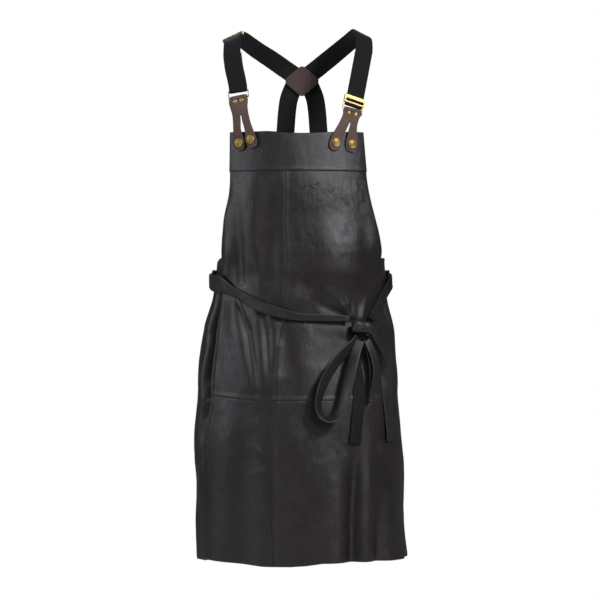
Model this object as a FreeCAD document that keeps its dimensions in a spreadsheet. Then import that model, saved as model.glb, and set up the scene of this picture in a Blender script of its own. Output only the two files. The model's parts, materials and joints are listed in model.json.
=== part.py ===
import FreeCAD, Part
import math
import os
import Sketcher

V = FreeCAD.Vector

# Leather bib apron with crossed elastic suspenders, worn form.
# Frame: +Z up, front of the apron faces -Y, +X to the right of someone looking at the front.
# Origin: middle of the shoulder line, where the two suspenders pass over the shoulders.
# All sizes in millimetres.

doc = FreeCAD.newDocument("Apron")
sheet = doc.addObject("Spreadsheet::Sheet", "Sizes")
SIZES = [
    ("leather_thick", 2.4, "apron leather, lined"),
    ("strap_width", 36.0, "elastic webbing width"),
    ("strap_thick", 1.8, "elastic webbing thickness"),
    ("fold_radius", 2.5, "centreline radius of a strap folded round a ring bar"),
    ("tie_width", 27.0, "waist tie width"),
    ("tie_thick", 2.4, "waist tie thickness"),
    ("tab_thick", 2.6, "tab leather thickness"),
    ("slide_width", 43.0, "strap slide, across the strap"),
    ("slide_length", 15.0, "strap slide, along the strap"),
    ("slide_depth", 5.2, "strap slide, front to back"),
    ("slide_tunnel_width", 37.4, "passage for the strap"),
    ("slide_tunnel_depth", 2.8, "passage for the strap"),
    ("slide_window", 6.0, "gap between the two front bars"),
    ("slide_bar", 3.6, "rear middle bar"),
    ("ring_width", 43.0, "tab ring, across"),
    ("ring_height_left", 16.0, "left ring, outside height"),
    ("ring_height", 12.8, "tab ring, along the strap"),
    ("ring_wire", 2.4, "tab ring wire"),
    ("rivet_head", 8.8, "tab rivet head diameter"),
    ("rivet_pitch", 14.0, "distance between the two tab rivets"),
    ("button_diameter", 17.0, "button cap diameter"),
    ("button_height", 3.6, "button cap height"),
    ("post_diameter", 4.6, "button tack post"),
    ("tack_diameter", 12.0, "button tack back plate"),
    ("patch_width", 76.0, "cross patch, corner to corner across"),
    ("patch_height", 63.8, "cross patch, corner to corner upward"),
    ("patch_thick", 2.0, "cross patch leather"),
    ("patch_corner", 9.0, "cross patch corner radius"),
    ("back_tab_width", 37.0, "back tab width"),
    ("back_tab_length", 58.0, "back tab length"),
]
for row, (alias, value, note) in enumerate(SIZES, start=1):
    sheet.set("A%d" % row, alias)
    sheet.set("B%d" % row, str(value))
    sheet.set("C%d" % row, note)
    sheet.setAlias("B%d" % row, alias)
doc.recompute()


def size(alias):
    return float(sheet.get(alias))


LEATHER = size("leather_thick")
STRAP_W = size("strap_width")
STRAP_T = size("strap_thick")
FOLD_R = size("fold_radius")
TIE_W = size("tie_width")
TIE_T = size("tie_thick")
TAB_T = size("tab_thick")

# ---------------------------------------------------------------- the worn form
# Each row: height, centre x, half width, centre y, half depth of the form's outline.
FORM = [
    (-170, -7.0, 149, -20, 73),
    (-185, -6.5, 150, -20, 75),
    (-240, -4.5, 152, -21, 80),
    (-300, -2.5, 155, -22, 86),
    (-350, -2.0, 164, -19, 91),
    (-413, 2.0, 171, -14, 96),
    (-440, 1.0, 168, -10, 100),
    (-470, 1.5, 169, -6, 104),
    (-510, 0.5, 172, -3, 110),
    (-560, -1.0, 183, 0, 116),
    (-610, -5.0, 190, 2, 121),
    (-660, -6.0, 196, 3, 126),
    (-706, -5.5, 197, 4, 130),
    (-780, -6.0, 203, 5, 135),
    (-860, -2.0, 203, 6, 138),
    (-940, -1.0, 202, 7, 140),
    (-1021, 3.0, 204, 8, 142),
    (-1040, 3.0, 204, 8, 142),
]
# Back edge of the apron on each side, as an angle round the form (0 = front, 90 = side).
EDGE = [(-170, 59), (-185, 59), (-260, 60), (-330, 61), (-400, 64), (-430, 66)]
BACK_EDGE = [(-430, 70), (-434, 80), (-440, 92), (-450, 104), (-560, 108), (-706, 110), (-860, 112), (-1040, 113)]
# Seam between the front and the side panel, left and right, and the centre seam.
SEAM_L = [(-420, -66), (-430, -66), (-520, -62), (-600, -57), (-706, -56), (-790, -60), (-860, -63), (-1040, -66)]
SEAM_R = [(-420, 66), (-430, 66), (-520, 70), (-706, 72), (-1040, 73)]
CENTRE = [(-170, -9.5), (-340, -10), (-450, -10.5), (-620, -11.5), (-706, -12.5), (-860, -14.5), (-1040, -15.5)]
TOP_Z = -190.0
BAND_Z = -264.0
SKIRT_Z = -703.0
CORNER_Z = -430.0
HEM_Z = -1021.0


def linear(table, z):
    rows = sorted(table)
    if z <= rows[0][0]:
        return rows[0][1]
    for (z0, a0), (z1, a1) in zip(rows, rows[1:]):
        if z <= z1:
            return a0 + (a1 - a0) * (z - z0) / (z1 - z0)
    return rows[-1][1]


def form(z):
    rows = sorted(FORM)
    z = min(max(z, rows[0][0]), rows[-1][0])
    n = len(rows)
    k = 0
    while k < n - 2 and z > rows[k + 1][0]:
        k += 1
    z0, z1 = rows[k][0], rows[k + 1][0]
    s = (z - z0) / (z1 - z0)
    out = []
    for c in range(1, 5):
        p1, p2 = rows[k][c], rows[k + 1][c]
        m1 = (rows[k + 1][c] - rows[max(k - 1, 0)][c]) / (rows[k + 1][0] - rows[max(k - 1, 0)][0]) * (z1 - z0)
        m2 = (rows[min(k + 2, n - 1)][c] - rows[k][c]) / (rows[min(k + 2, n - 1)][0] - rows[k][0]) * (z1 - z0)
        out.append((2 * s**3 - 3 * s**2 + 1) * p1 + (s**3 - 2 * s**2 + s) * m1
                   + (-2 * s**3 + 3 * s**2) * p2 + (s**3 - s**2) * m2)
    return out


def at(phi, z, out=0.0):
    """Point on the form at angle phi and height z, moved outward by out."""
    xc, a, yc, b = form(z)
    f = math.radians(phi)
    nx, ny = b * math.sin(f), -a * math.cos(f)
    n = math.hypot(nx, ny)
    return V(xc + a * math.sin(f) + out * nx / n, yc - b * math.cos(f) + out * ny / n, z)


def facing(phi, z):
    """Outward direction of the form, level."""
    return (at(phi, z, 10.0) - at(phi, z, 0.0)).normalize()


def angle_at(x, z):
    xc, a, yc, b = form(z)
    return math.degrees(math.asin(max(-0.999, min(0.999, (x - xc) / a))))


# ---------------------------------------------------------------- builders
def feature(label, shape, at_place=None):
    o = doc.addObject("Part::Feature", label)
    o.Label = label
    o.Shape = shape
    if at_place is not None:
        o.Placement = at_place
    return o


def loft(sections):
    wires = [Part.makePolygon(s + [s[0]]) for s in sections]
    return Part.makeLoft(wires, True, True)


def panel(heights, phi0, phi1, cols, gap=0.15):
    """A piece of leather on the form, cut at the given heights and between two edges."""
    sections = []
    for i, z in enumerate(heights):
        if i == 0:
            z -= gap
        if i == len(heights) - 1:
            z += gap
        f0, f1 = phi0(z), phi1(z)
        shrink = math.degrees(gap / form(z)[1])
        f0 += shrink
        f1 -= shrink
        outer = [at(f0 + (f1 - f0) * j / cols, z, 0.0) for j in range(cols + 1)]
        inner = [at(f0 + (f1 - f0) * j / cols, z, -LEATHER) for j in range(cols + 1)]
        sections.append(outer + inner[::-1])
    return loft(sections)


def strip(path, across, width, thick):
    """A flat strap: path of centre points, across = direction of its width at each."""
    sections = []
    n = len(path)
    for i, p in enumerate(path):
        if i == 0:
            d = path[1] - p
        elif i == n - 1:
            d = p - path[i - 1]
        else:
            d = (path[i + 1] - p).normalize() + (p - path[i - 1]).normalize()
        d.normalize()
        w = V(across[i])
        w = w - d * w.dot(d)
        w.normalize()
        nrm = d.cross(w).normalize()
        wd = width[i] if isinstance(width, (list, tuple)) else width
        a, b = w * (wd / 2.0), nrm * (thick / 2.0)
        sections.append([p + a + b, p - a + b, p - a - b, p + a - b])
    return loft(sections)


def place(origin, x_dir, z_dir):
    """Placement whose X runs along x_dir and whose Z runs along z_dir."""
    z = V(z_dir).normalize()
    x = V(x_dir)
    x = (x - z * x.dot(z)).normalize()
    y = z.cross(x)
    m = FreeCAD.Matrix(x.x, y.x, z.x, origin.x, x.y, y.y, z.y, origin.y, x.z, y.z, z.z, origin.z, 0, 0, 0, 1)
    return FreeCAD.Placement(m)


def new_body(label):
    b = doc.addObject("PartDesign::Body", label)
    b.Label = label
    b.AllowCompound = True
    return b


def new_sketch(body, name, role="XY_Plane"):
    sk = body.newObject("Sketcher::SketchObject", name)
    base = [o for o in body.Origin.OriginFeatures if o.Role == role][0]
    sk.AttachmentSupport = [(base, "")]
    sk.MapMode = "FlatFace"
    return sk


def add_rect(sk, width, height, wx="", hx="", cx=0.0, cy=0.0):
    """A rectangle, sized by sheet expressions where given, centred on (cx, cy)."""
    n = sk.GeometryCount
    x0, x1, y0, y1 = cx - width / 2.0, cx + width / 2.0, cy - height / 2.0, cy + height / 2.0
    pts = [V(x0, y0, 0), V(x1, y0, 0), V(x1, y1, 0), V(x0, y1, 0)]
    for i in range(4):
        sk.addGeometry(Part.LineSegment(pts[i], pts[(i + 1) % 4]), False)
    for i in range(4):
        sk.addConstraint(Sketcher.Constraint("Coincident", n + i, 2, n + (i + 1) % 4, 1))
    sk.addConstraint(Sketcher.Constraint("Horizontal", n))
    sk.addConstraint(Sketcher.Constraint("Horizontal", n + 2))
    sk.addConstraint(Sketcher.Constraint("Vertical", n + 1))
    sk.addConstraint(Sketcher.Constraint("Vertical", n + 3))
    if cx == 0.0 and cy == 0.0:
        sk.addConstraint(Sketcher.Constraint("Symmetric", n, 1, n + 1, 2, -1, 1))
    c = sk.addConstraint(Sketcher.Constraint("DistanceX", n, 1, n, 2, width))
    if wx:
        sk.setExpression("Constraints[%d]" % c, wx)
    c = sk.addConstraint(Sketcher.Constraint("DistanceY", n + 1, 1, n + 1, 2, height))
    if hx:
        sk.setExpression("Constraints[%d]" % c, hx)


def pad(body, name, sk, length, expr="", both=False, down=False):
    p = body.newObject("PartDesign::Pad", name)
    p.Profile = sk
    p.Length = length
    if expr:
        p.setExpression("Length", expr)
    if both:
        p.Midplane = True
    p.Reversed = down
    doc.recompute()
    return p


def pocket(body, name, sk, length=None, down=False, both=False):
    before = body.Shape.Volume
    p = body.newObject("PartDesign::Pocket", name)
    p.Profile = sk
    if length is None:
        p.Type = 1
    else:
        p.Length = length
    p.Midplane = both
    p.Reversed = down
    doc.recompute()
    if body.Shape.Volume > before - 1e-6:
        raise RuntimeError("%s cuts nothing" % name)
    return p


def revolve(body, name, outline, role="XZ_Plane"):
    """A turned piece: outline of (radius, height) points, about the body's Z axis."""
    sk = new_sketch(body, name + "Sketch", role)
    pts = [V(r, h, 0) for r, h in outline]
    for i in range(len(pts)):
        sk.addGeometry(Part.LineSegment(pts[i], pts[(i + 1) % len(pts)]), False)
    for i in range(len(pts)):
        sk.addConstraint(Sketcher.Constraint("Coincident", i, 2, (i + 1) % len(pts), 1))
        sk.addConstraint(Sketcher.Constraint("Block", i))
    rv = body.newObject("PartDesign::Revolution", name)
    rv.Profile = sk
    rv.ReferenceAxis = (sk, ["V_Axis"])
    rv.Angle = 360.0
    doc.recompute()
    return rv


nodes = []

# ---------------------------------------------------------------- apron leather
left_edge = lambda z: -linear(EDGE, z)
right_edge = lambda z: linear(EDGE, z)
centre = lambda z: linear(CENTRE, z)
seam_l = lambda z: linear(SEAM_L, z)
seam_r = lambda z: linear(SEAM_R, z)


def front_left(z):
    return left_edge(z) if z > CORNER_Z else seam_l(z)


def front_right(z):
    return right_edge(z) if z > CORNER_Z else seam_r(z)


BIB = [BAND_Z, -300, -345, -390, -430, -434, -440, -450, -500, -550, -600, -650, SKIRT_Z]
SKIRT = [SKIRT_Z, -780, -860, -940, HEM_Z]
band_base = panel([TOP_Z, -222, BAND_Z], left_edge, right_edge, 14)
nodes.append(feature("bib_panel_left", panel(BIB, front_left, centre, 6)))
nodes.append(feature("bib_panel_right", panel(BIB, centre, front_right, 8)))
nodes.append(feature("skirt_panel_left", panel(SKIRT, seam_l, centre, 5)))
nodes.append(feature("skirt_panel_right", panel(SKIRT, centre, seam_r, 8)))


def side_panel(sign):
    seam = seam_l if sign < 0 else seam_r
    heights = [-430.3, -434, -440, -450, -500, -550, -600, -650, SKIRT_Z, -780, -860, -940, HEM_Z + 0.15]
    sections = []
    for z in heights:
        f0 = seam(z) + sign * 0.12
        f1 = sign * linear(BACK_EDGE, z)
        outer = [at(f0 + (f1 - f0) * j / 5.0, z, 0.0) for j in range(6)]
        inner = [at(f0 + (f1 - f0) * j / 5.0, z, -LEATHER) for j in range(6)]
        sections.append(outer + inner[::-1])
    return loft(sections)


nodes.append(feature("side_panel_left", side_panel(-1)))
nodes.append(feature("side_panel_right", side_panel(1)))

# ---------------------------------------------------------------- suspender runs
# Each front run is a straight line from the ring up to the shoulder, then the strap turns over
# the shoulder and crosses the back to the patch.
PATCH = V(4.0, 105.0, -74.5)


def smooth(keys, steps):
    """Catmull-Rom points through rows of numbers, steps per span."""
    out = []
    n = len(keys)
    for k in range(n - 1):
        p0, p1, p2, p3 = keys[max(k - 1, 0)], keys[k], keys[k + 1], keys[min(k + 2, n - 1)]
        for i in range(steps):
            t = i / float(steps)
            out.append([0.5 * (2 * b + (c - a) * t + (2 * a - 5 * b + 4 * c - d) * t * t
                               + (3 * b - a - 3 * c + d) * t**3) for a, b, c, d in zip(p0, p1, p2, p3)])
    out.append(list(keys[-1]))
    return out


def strap_normal(low, high, across):
    d = (high - low).normalize()
    w = (across - d * across.dot(d)).normalize()
    n = w.cross(d)
    if n.y > 0:
        n = n * -1.0
    return d, w, n


RUNS = {
    "left": dict(low=V(-119.6, -80.0, -109.6), high=V(-120.2, -78.9, -101.0), side=V(0.93, -0.38, 0.03),
                 front=[(-120.2, -78.9, -101.0, -0.38, -0.92, 0.09), (-123.0, -75.6, -86, -0.37, -0.91, 0.17),
                        (-127.8, -69, -64, -0.36, -0.88, 0.30), (-131, -58, -40, -0.36, -0.80, 0.46),
                        (-131.4, -48.5, -24, -0.37, -0.68, 0.62), (-131.2, -38, -11.5, -0.39, -0.52, 0.76)],
                 crest=(V(-130.9, -28.0, -4.2), V(-129.5, 6.0, 6.0), V(0.905, -0.16, 0.407)),
                 over=[(-127.2, 15, 6.6, -0.38, 0.05, 0.92), (-121.3, 26, 5.6, -0.36, 0.25, 0.90), (-113, 37.5, 1.4, -0.30, 0.45, 0.84),
                       (-103, 48, -5.5, -0.27, 0.58, 0.77),
                       (-82, 70, -19, -0.3, 0.7, 0.65), (-58, 89, -33, -0.28, 0.84, 0.46),
                       (-38, 99.5, -46, -0.1, 0.98, 0.17), (-30, 102.2, -51.5, 0, 1, 0), (-6, 102.2, -68, 0, 1, 0),
                       (18, 102.2, -85, 0, 1, 0)]),
    "right": dict(low=V(103.0, -80.0, -137.6), high=V(124.1, -44.1, -27.5), side=V(0.93, 0.42, 0.0),
                  over=[(124.5, -36, -13, 0.42, -0.82, 0.38), (123.8, -25, -1, 0.44, -0.6, 0.66),
                        (121.8, -12, 6.2, 0.46, -0.28, 0.84), (119, 2, 9, 0.46, 0.02, 0.88),
                        (114, 16, 8, 0.42, 0.25, 0.87), (107.5, 31, 4, 0.34, 0.42, 0.84), (98, 48, -3, 0.3, 0.6, 0.74),
                        (80, 70, -16, 0.3, 0.7, 0.65), (60, 89, -31, 0.28, 0.84, 0.46),
                        (45, 101.0, -42, 0.1, 0.98, 0.17), (38, 104.3, -47.5, 0, 1, 0), (16, 104.3, -65, 0, 1, 0),
                        (-8, 104.3, -84, 0, 1, 0)]),
}
RETURN_TOP = {"left": 10.0, "right": 22.0}


def oriented(rows, like):
    """Points and width directions of rows (x, y, z, nx, ny, nz), the width kept on one side."""
    way = [V(*k[:3]) for k in rows]
    acr = []
    for i in range(len(rows)):
        dd = way[min(i + 1, len(way) - 1)] - way[max(i - 1, 0)]
        a = dd.cross(V(*rows[i][3:])).normalize()
        acr.append(a * -1.0 if a.dot(like) < 0 else a)
    return way, acr


def shoulder_strap(side):
    r = RUNS[side]
    d, w, n = strap_normal(r["low"], r["high"], r["side"])
    # Folded end: up behind the front run, round the ring bar, then the front run itself.
    centre_pt = r["low"] - n * FOLD_R
    pts, acr = [], []
    top = r["low"] - n * (2 * FOLD_R) + d * RETURN_TOP[side]
    bottom = r["low"] - n * (2 * FOLD_R)
    front, fa = [], []
    if "front" in r:
        front, fa = oriented(smooth(r["front"], 2), w)
        # The webbing's free end runs doubled behind the front almost to the crest.
        back, ba = [], []
        for i in range(1, 9):
            t = (front[i + 1] - front[i - 1]).normalize()
            nn = fa[i].cross(t).normalize()
            if nn.y > 0:
                nn = nn * -1.0
            back.append(front[i] - nn * (2 * FOLD_R))
            ba.append(fa[i])
        pts += back[::-1]
        acr += ba[::-1]
    for q in (top, (top + bottom) * 0.5, bottom):
        pts.append(q)
        acr.append(w)
    for i in range(1, 8):
        t = math.pi * i / 8.0
        pts.append(centre_pt - n * (FOLD_R * math.cos(t)) - d * (FOLD_R * math.sin(t)))
        acr.append(w)
    shares = (0.0, 0.5) if front else (0.0, 0.25, 0.5, 0.75, 0.975)
    for share in shares:
        pts.append(r["low"] + (r["high"] - r["low"]) * share)
        acr.append(w)
    pts += front
    acr += fa
    if front:
        c0, c1, cw = r["crest"]
        along = (c1 - c0).normalize()
        cn = cw.cross(along).normalize()
        for q in (c0, c0 + along * 2.0, (c0 + c1) * 0.5, c1 - along * 2.0):
            pts.append(q)
            acr.append(cw)
        keys = [(c1.x, c1.y, c1.z, cn.x, cn.y, cn.z)] + r["over"]
    else:
        keys = [(r["high"].x, r["high"].y, r["high"].z, n.x, n.y, n.z)] + r["over"]
    way, wa = oriented(smooth(keys, 2), acr[-1])
    for i in range(1, len(wa)):
        if wa[i].dot(wa[i - 1]) < 0:
            wa[i] = wa[i] * -1.0
    pts += way
    acr += wa
    return strip(pts, acr, STRAP_W, STRAP_T)


nodes.append(feature("shoulder_strap_left", shoulder_strap("left")))
nodes.append(feature("shoulder_strap_right", shoulder_strap("right")))


# Back straps: from under the patch, down the back, out to the waist corners.
def back_strap(sign):
    x0 = PATCH.x + sign * 10.0
    pts = [V(x0, 106.4, -74), V(x0 + sign * 9, 106.4, -92), V(x0 + sign * 16.5, 106.5, -113),
           V(x0 + sign * 20.5, 110, -142), V(x0 + sign * 23.5, 114, -180), V(x0 + sign * 30.5, 116, -230),
           V(x0 + sign * 46, 114, -285), V(x0 + sign * 68, 106, -335), V(x0 + sign * 94, 90, -376), ]
    acr = [V(1, 0, 0.05 * sign), V(1, 0, 0.15 * sign), V(1, 0, 0.15 * sign), V(1, 0, 0.1 * sign), V(1, 0, 0.1 * sign),
           V(1, -0.1 * sign, 0.2 * sign), V(1, -0.3 * sign, 0.3 * sign), V(1, -0.45 * sign, 0.45 * sign),
           V(1, -0.7 * sign, 0.6 * sign)]
    return strip(pts, acr, STRAP_W, STRAP_T), pts, acr


for sign, side in ((-1, "left"), (1, "right")):
    nodes.append(feature("back_strap_" + side, back_strap(sign)[0]))

# ---------------------------------------------------------------- cross patch
for label, y in (("cross_patch_inner", 99.0 + 1.0), ("cross_patch_outer", 107.8 + 1.0)):
    b = new_body(label)
    sk = new_sketch(b, label + "_sketch")
    hw, hh = size("patch_width") / 2.0, size("patch_height") / 2.0
    ring = [V(hw, 0, 0), V(0, hh, 0), V(-hw, 0, 0), V(0, -hh, 0)]
    for i in range(4):
        sk.addGeometry(Part.LineSegment(ring[i], ring[(i + 1) % 4]), False)
    for i in range(4):
        sk.addConstraint(Sketcher.Constraint("Coincident", i, 2, (i + 1) % 4, 1))
    for i in (0, 1):
        sk.addConstraint(Sketcher.Constraint("PointOnObject", i, 1, -1 if i == 0 else -2))
    for i, (first, second, name) in enumerate(((0, 2, "patch_width"), (1, 3, "patch_height"))):
        kind = "DistanceX" if name == "patch_width" else "DistanceY"
        c = sk.addConstraint(Sketcher.Constraint(kind, second, 1, first, 1, size(name)))
        sk.setExpression("Constraints[%d]" % c, "Sizes." + name)
        g = sk.addConstraint(Sketcher.Constraint("Symmetric", first, 1, second, 1, -1, 1))
    p = pad(b, label + "_pad", sk, size("patch_thick"), "Sizes.patch_thick", both=True)
    edges = ["Edge%d" % (i + 1) for i, e in enumerate(b.Shape.Edges)
             if abs(e.Vertexes[0].Point.z - e.Vertexes[-1].Point.z) > 0.5]
    f = b.newObject("PartDesign::Fillet", label + "_corners")
    f.Base = (p, edges)
    f.Radius = size("patch_corner")
    f.setExpression("Radius", "Sizes.patch_corner")
    doc.recompute()
    b.Placement = place(V(PATCH.x, y, PATCH.z - 1.0), V(1, 0, 0), V(0, -1, 0))
    nodes.append(b)

# ---------------------------------------------------------------- slides


def slide(label, where, along, w, n):
    """Strap slide: two front bars, one rear middle bar, two side rails round the strap."""
    b = new_body(label)
    sk = new_sketch(b, label + "_outline")
    add_rect(sk, size("slide_width"), size("slide_length"), "Sizes.slide_width", "Sizes.slide_length")
    pad(b, label + "_block", sk, size("slide_depth"), "Sizes.slide_depth", both=True)
    tunnel = new_sketch(b, label + "_tunnel_outline", "XZ_Plane")
    add_rect(tunnel, size("slide_tunnel_width"), size("slide_tunnel_depth"),
             "Sizes.slide_tunnel_width", "Sizes.slide_tunnel_depth")
    pocket(b, label + "_tunnel", tunnel, 60.0, both=True)
    window = new_sketch(b, label + "_window_outline")
    add_rect(window, size("slide_tunnel_width"), size("slide_window"), "Sizes.slide_tunnel_width", "Sizes.slide_window",
             cy=-2.0)
    pocket(b, label + "_window", window, 10.0, down=True)
    rear = new_sketch(b, label + "_rear_outline")
    half = (size("slide_length") - size("slide_bar")) / 2.0
    for s in (-1, 1):
        add_rect(rear, size("slide_tunnel_width"), half + 2.0,
                 cx=0.0, cy=s * (size("slide_bar") / 2.0 + half / 2.0 + 1.0))
    pocket(b, label + "_rear", rear, 10.0)
    b.Placement = place(where, w, n)
    nodes.append(b)
    return b


SLIDE_AT = {}
for side, travel in (("left", 17.7), ("right", 9.6)):
    r = RUNS[side]
    if "crest" in r:
        d, w, n = strap_normal(r["crest"][0], r["crest"][1], r["crest"][2])
        p = r["crest"][0] + d * travel
    else:
        d, w, n = strap_normal(r["low"], r["high"], r["side"])
        p = r["low"] + d * travel
    SLIDE_AT[side] = (p, d, w, n)
    slide("strap_slide_" + side, p, d, w * (-1.0 if side == "left" else 1.0), n)

# ---------------------------------------------------------------- front tabs, rings, rivets
# The tab's folded top hangs on the ring; its two legs button on to the bib's top band.
TAB_SHAPES = {
    "left": dict(
        outline=[(-17.5, 0), (17.5, 0), (16.5, -20), (16.2, -34), (17.5, -50), (20.5, -66), (23.5, -80), (24, -90),
                 (20.5, -97), (13, -99.5), (6, -97.5), (2, -91), (1, -80), (3.2, -68), (2.8, -58), (1.4, -46), (0.9, -35),
                 (-1.1, -35), (-2.4, -46), (-4.4, -58), (-3.8, -68), (-2.0, -80), (-2.2, -90), (-5, -97), (-11, -100.5),
                 (-18, -99), (-23, -92), (-24, -82), (-21, -64), (-18.5, -48), (-17, -30)],
        holes=[(-12.9, -85.0), (12.2, -82.9)]),
    "right": dict(
        outline=[(-17.5, 0), (17.5, 0), (15.8, -12), (14.8, -24), (16.5, -36), (20.5, -48), (23.5, -58), (23.5, -68),
                 (19.5, -76), (12.5, -78), (5, -76), (0.5, -69), (-1, -60), (-0.6, -50), (-0.2, -38), (0.4, -25),
                 (-1.8, -25), (-5, -38), (-8.4, -50), (-9.6, -60), (-10, -70), (-12.5, -79), (-19, -83), (-26.5, -82),
                 (-32, -75), (-33, -66), (-29.5, -50), (-24, -34), (-20, -20), (-18, -10)],
        holes=[(11.8, -62.7), (-20.2, -66.5)]),
}


def tab_frame(side):
    r = RUNS[side]
    d, w, n = strap_normal(r["low"], r["high"], r["side"])
    tall = size("ring_height_left") if side == "left" else size("ring_height")
    ring_low = r["low"] - n * FOLD_R - d * (tall - size("ring_wire"))
    return r, d, w, n, ring_low


TABS = {}
for side in ("left", "right"):
    r, d, w, n, ring_low = tab_frame(side)
    # The plate leans from the ring down on to the band's front face.
    sign = -1 if side == "left" else 1
    phi = angle_at(-101.0 if side == "left" else 84.0, -226.0)
    foot = at(phi, -226.0, (1.9 if side == "left" else 1.0) + TAB_T / 2.0)
    fr = FOLD_R + 1.5
    n2 = V(n)
    for turn in range(8):
        top = ring_low + n2 * fr
        down = foot - top
        d2 = (down * -1.0).normalize()
        w2 = (w - d2 * w.dot(d2)).normalize()
        n2 = w2.cross(d2)
        if n2.y > 0:
            n2 = n2 * -1.0
    TABS[side] = dict(top=top, d=d2, w=w2, n=n2, length=down.Length, foot=foot, phi=phi, ring=ring_low)

print("TABS", {k: (v["length"], v["top"], v["foot"]) for k, v in TABS.items()})

buttons = {}
band_cuts = []
for side in ("left", "right"):
    t = TABS[side]
    label = "button_tab_" + side
    outline, holes = TAB_SHAPES[side]["outline"], TAB_SHAPES[side]["holes"]
    b = new_body(label)
    sk = new_sketch(b, label + "_outline")
    pts = [V(x, y, 0) for x, y in outline]
    for i in range(len(pts)):
        sk.addGeometry(Part.LineSegment(pts[i], pts[(i + 1) % len(pts)]), False)
    for i in range(len(pts)):
        sk.addConstraint(Sketcher.Constraint("Coincident", i, 2, (i + 1) % len(pts), 1))
        sk.addConstraint(Sketcher.Constraint("Block", i))
    for hx, hy in holes:
        g = sk.addGeometry(Part.Circle(V(hx, hy, 0), V(0, 0, 1), 2.7), False)
        sk.addConstraint(Sketcher.Constraint("Block", g))
    pitch = size("rivet_pitch") / 2.0
    for hx in (-pitch, pitch):
        g = sk.addGeometry(Part.Circle(V(hx, -6.0, 0), V(0, 0, 1), 1.4), False)
        sk.addConstraint(Sketcher.Constraint("Block", g))
    pad(b, label + "_plate", sk, TAB_T, "Sizes.tab_thick", both=True)
    plc = place(t["top"], t["w"], t["n"])
    # place() keeps X across the tab; its Y then runs up the tab.
    b.Placement = plc
    up = plc.Rotation.multVec(V(0, 1, 0))
    assert up.z > 0
    # The fold round the ring's lower bar and the short flap behind, riveted through.
    fr = FOLD_R + 1.5
    c = t["top"] - t["n"] * fr
    pts3 = [t["top"] - t["d"] * 0.0]
    for i in range(1, 8):
        a = math.pi * i / 8.0
        pts3.append(c + t["n"] * (fr * math.cos(a)) + t["d"] * (fr * math.sin(a)))
    pts3.append(t["top"] - t["n"] * (2 * fr))
    pts3.append(t["top"] - t["n"] * (2 * fr) - t["d"] * 12.0)
    fold = strip(pts3, [t["w"]] * len(pts3), 31.5, TAB_T)
    holes_shape = []
    for hx in (-pitch, pitch):
        q = plc.multVec(V(hx, -6.0, -12.0))
        holes_shape.append(Part.makeCylinder(1.4, 24.0, q, t["n"]))
    fold = fold.cut(Part.makeCompound(holes_shape))
    b.Label = label + "_plate_body"
    f = feature(label + "_fold", fold)
    fuse = doc.addObject("Part::Fuse", label)
    fuse.Label = label
    fuse.Base = b
    fuse.Tool = f
    doc.recompute()
    nodes.append(fuse)

    # Ring: a rectangular wire loop through both folds.
    rb = new_body("tab_ring_" + side)
    sk = new_sketch(rb, "tab_ring_%s_outline" % side)
    tall_name = "ring_height_left" if side == "left" else "ring_height"
    add_rect(sk, size("ring_width"), size(tall_name), "Sizes.ring_width", "Sizes." + tall_name)
    add_rect(sk, size("ring_width") - 2 * size("ring_wire"), size(tall_name) - 2 * size("ring_wire"),
             "Sizes.ring_width - 2 * Sizes.ring_wire", "Sizes." + tall_name + " - 2 * Sizes.ring_wire")
    p = pad(rb, "tab_ring_%s_pad" % side, sk, size("ring_wire"), "Sizes.ring_wire", both=True)
    edges = ["Edge%d" % (i + 1) for i, e in enumerate(rb.Shape.Edges)]
    fl = rb.newObject("PartDesign::Fillet", "tab_ring_%s_round" % side)
    fl.Base = (p, edges)
    fl.Radius = 0.8
    doc.recompute()
    r, d, w, n, ring_low = tab_frame(side)
    mid = ring_low + d * ((size(tall_name) - size("ring_wire")) / 2.0)
    rb.Placement = place(mid, w, n)
    nodes.append(rb)

    # Rivets: two heads each, through the plate and the flap.
    vb = new_body("tab_rivets_" + side)
    hr = size("rivet_head") / 2.0
    lo = -(2 * fr + TAB_T / 2.0)
    outline_r = [(0, lo - 1.6), (hr * 0.7, lo - 1.4), (hr, lo - 0.6), (hr, lo - 0.05), (1.2, lo - 0.05),
                 (1.2, TAB_T / 2.0 + 0.05), (hr, TAB_T / 2.0 + 0.05), (hr, TAB_T / 2.0 + 0.7),
                 (hr * 0.75, TAB_T / 2.0 + 1.5), (0, TAB_T / 2.0 + 1.9)]
    rv = revolve(vb, "tab_rivet_%s_turned" % side, outline_r)
    pat = vb.newObject("PartDesign::LinearPattern", "tab_rivet_%s_pair" % side)
    pat.Originals = [rv]
    xaxis = [o for o in vb.Origin.OriginFeatures if o.Role == "X_Axis"][0]
    pat.Direction = (xaxis, [""])
    pat.Length = size("rivet_pitch")
    pat.setExpression("Length", "Sizes.rivet_pitch")
    pat.Occurrences = 2
    vb.Tip = pat
    doc.recompute()
    vb.Placement = place(plc.multVec(V(-pitch, -6.0, 0)), t["w"], t["n"])
    nodes.append(vb)

    # Buttons: a turned cap on each leg; a tack with its post through the leg and the band.
    tacks = []
    for k, (hx, hy) in enumerate(holes):
        q = plc.multVec(V(hx, hy, 0))
        buttons[(side, k)] = (q, V(t["n"]))
        face = q + t["n"] * (TAB_T / 2.0)
        name = "button_%s_%s" % (side, "outer" if k == 0 else "inner")
        bb = new_body(name)
        br, bh = size("button_diameter") / 2.0, size("button_height")
        bore = size("post_diameter") / 2.0 + 0.35
        revolve(bb, name + "_turned", [(bore, 0), (br - 0.8, 0), (br, 0.7), (br, 1.5), (br - 1.1, 2.5), (br - 1.9, 2.3),
                                       (br - 3.0, 2.9), (2.0, bh), (0, bh), (0, 2.2), (bore, 2.2)])
        bb.Placement = place(face + t["n"] * 0.4, t["w"], t["n"])
        nodes.append(bb)
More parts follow.
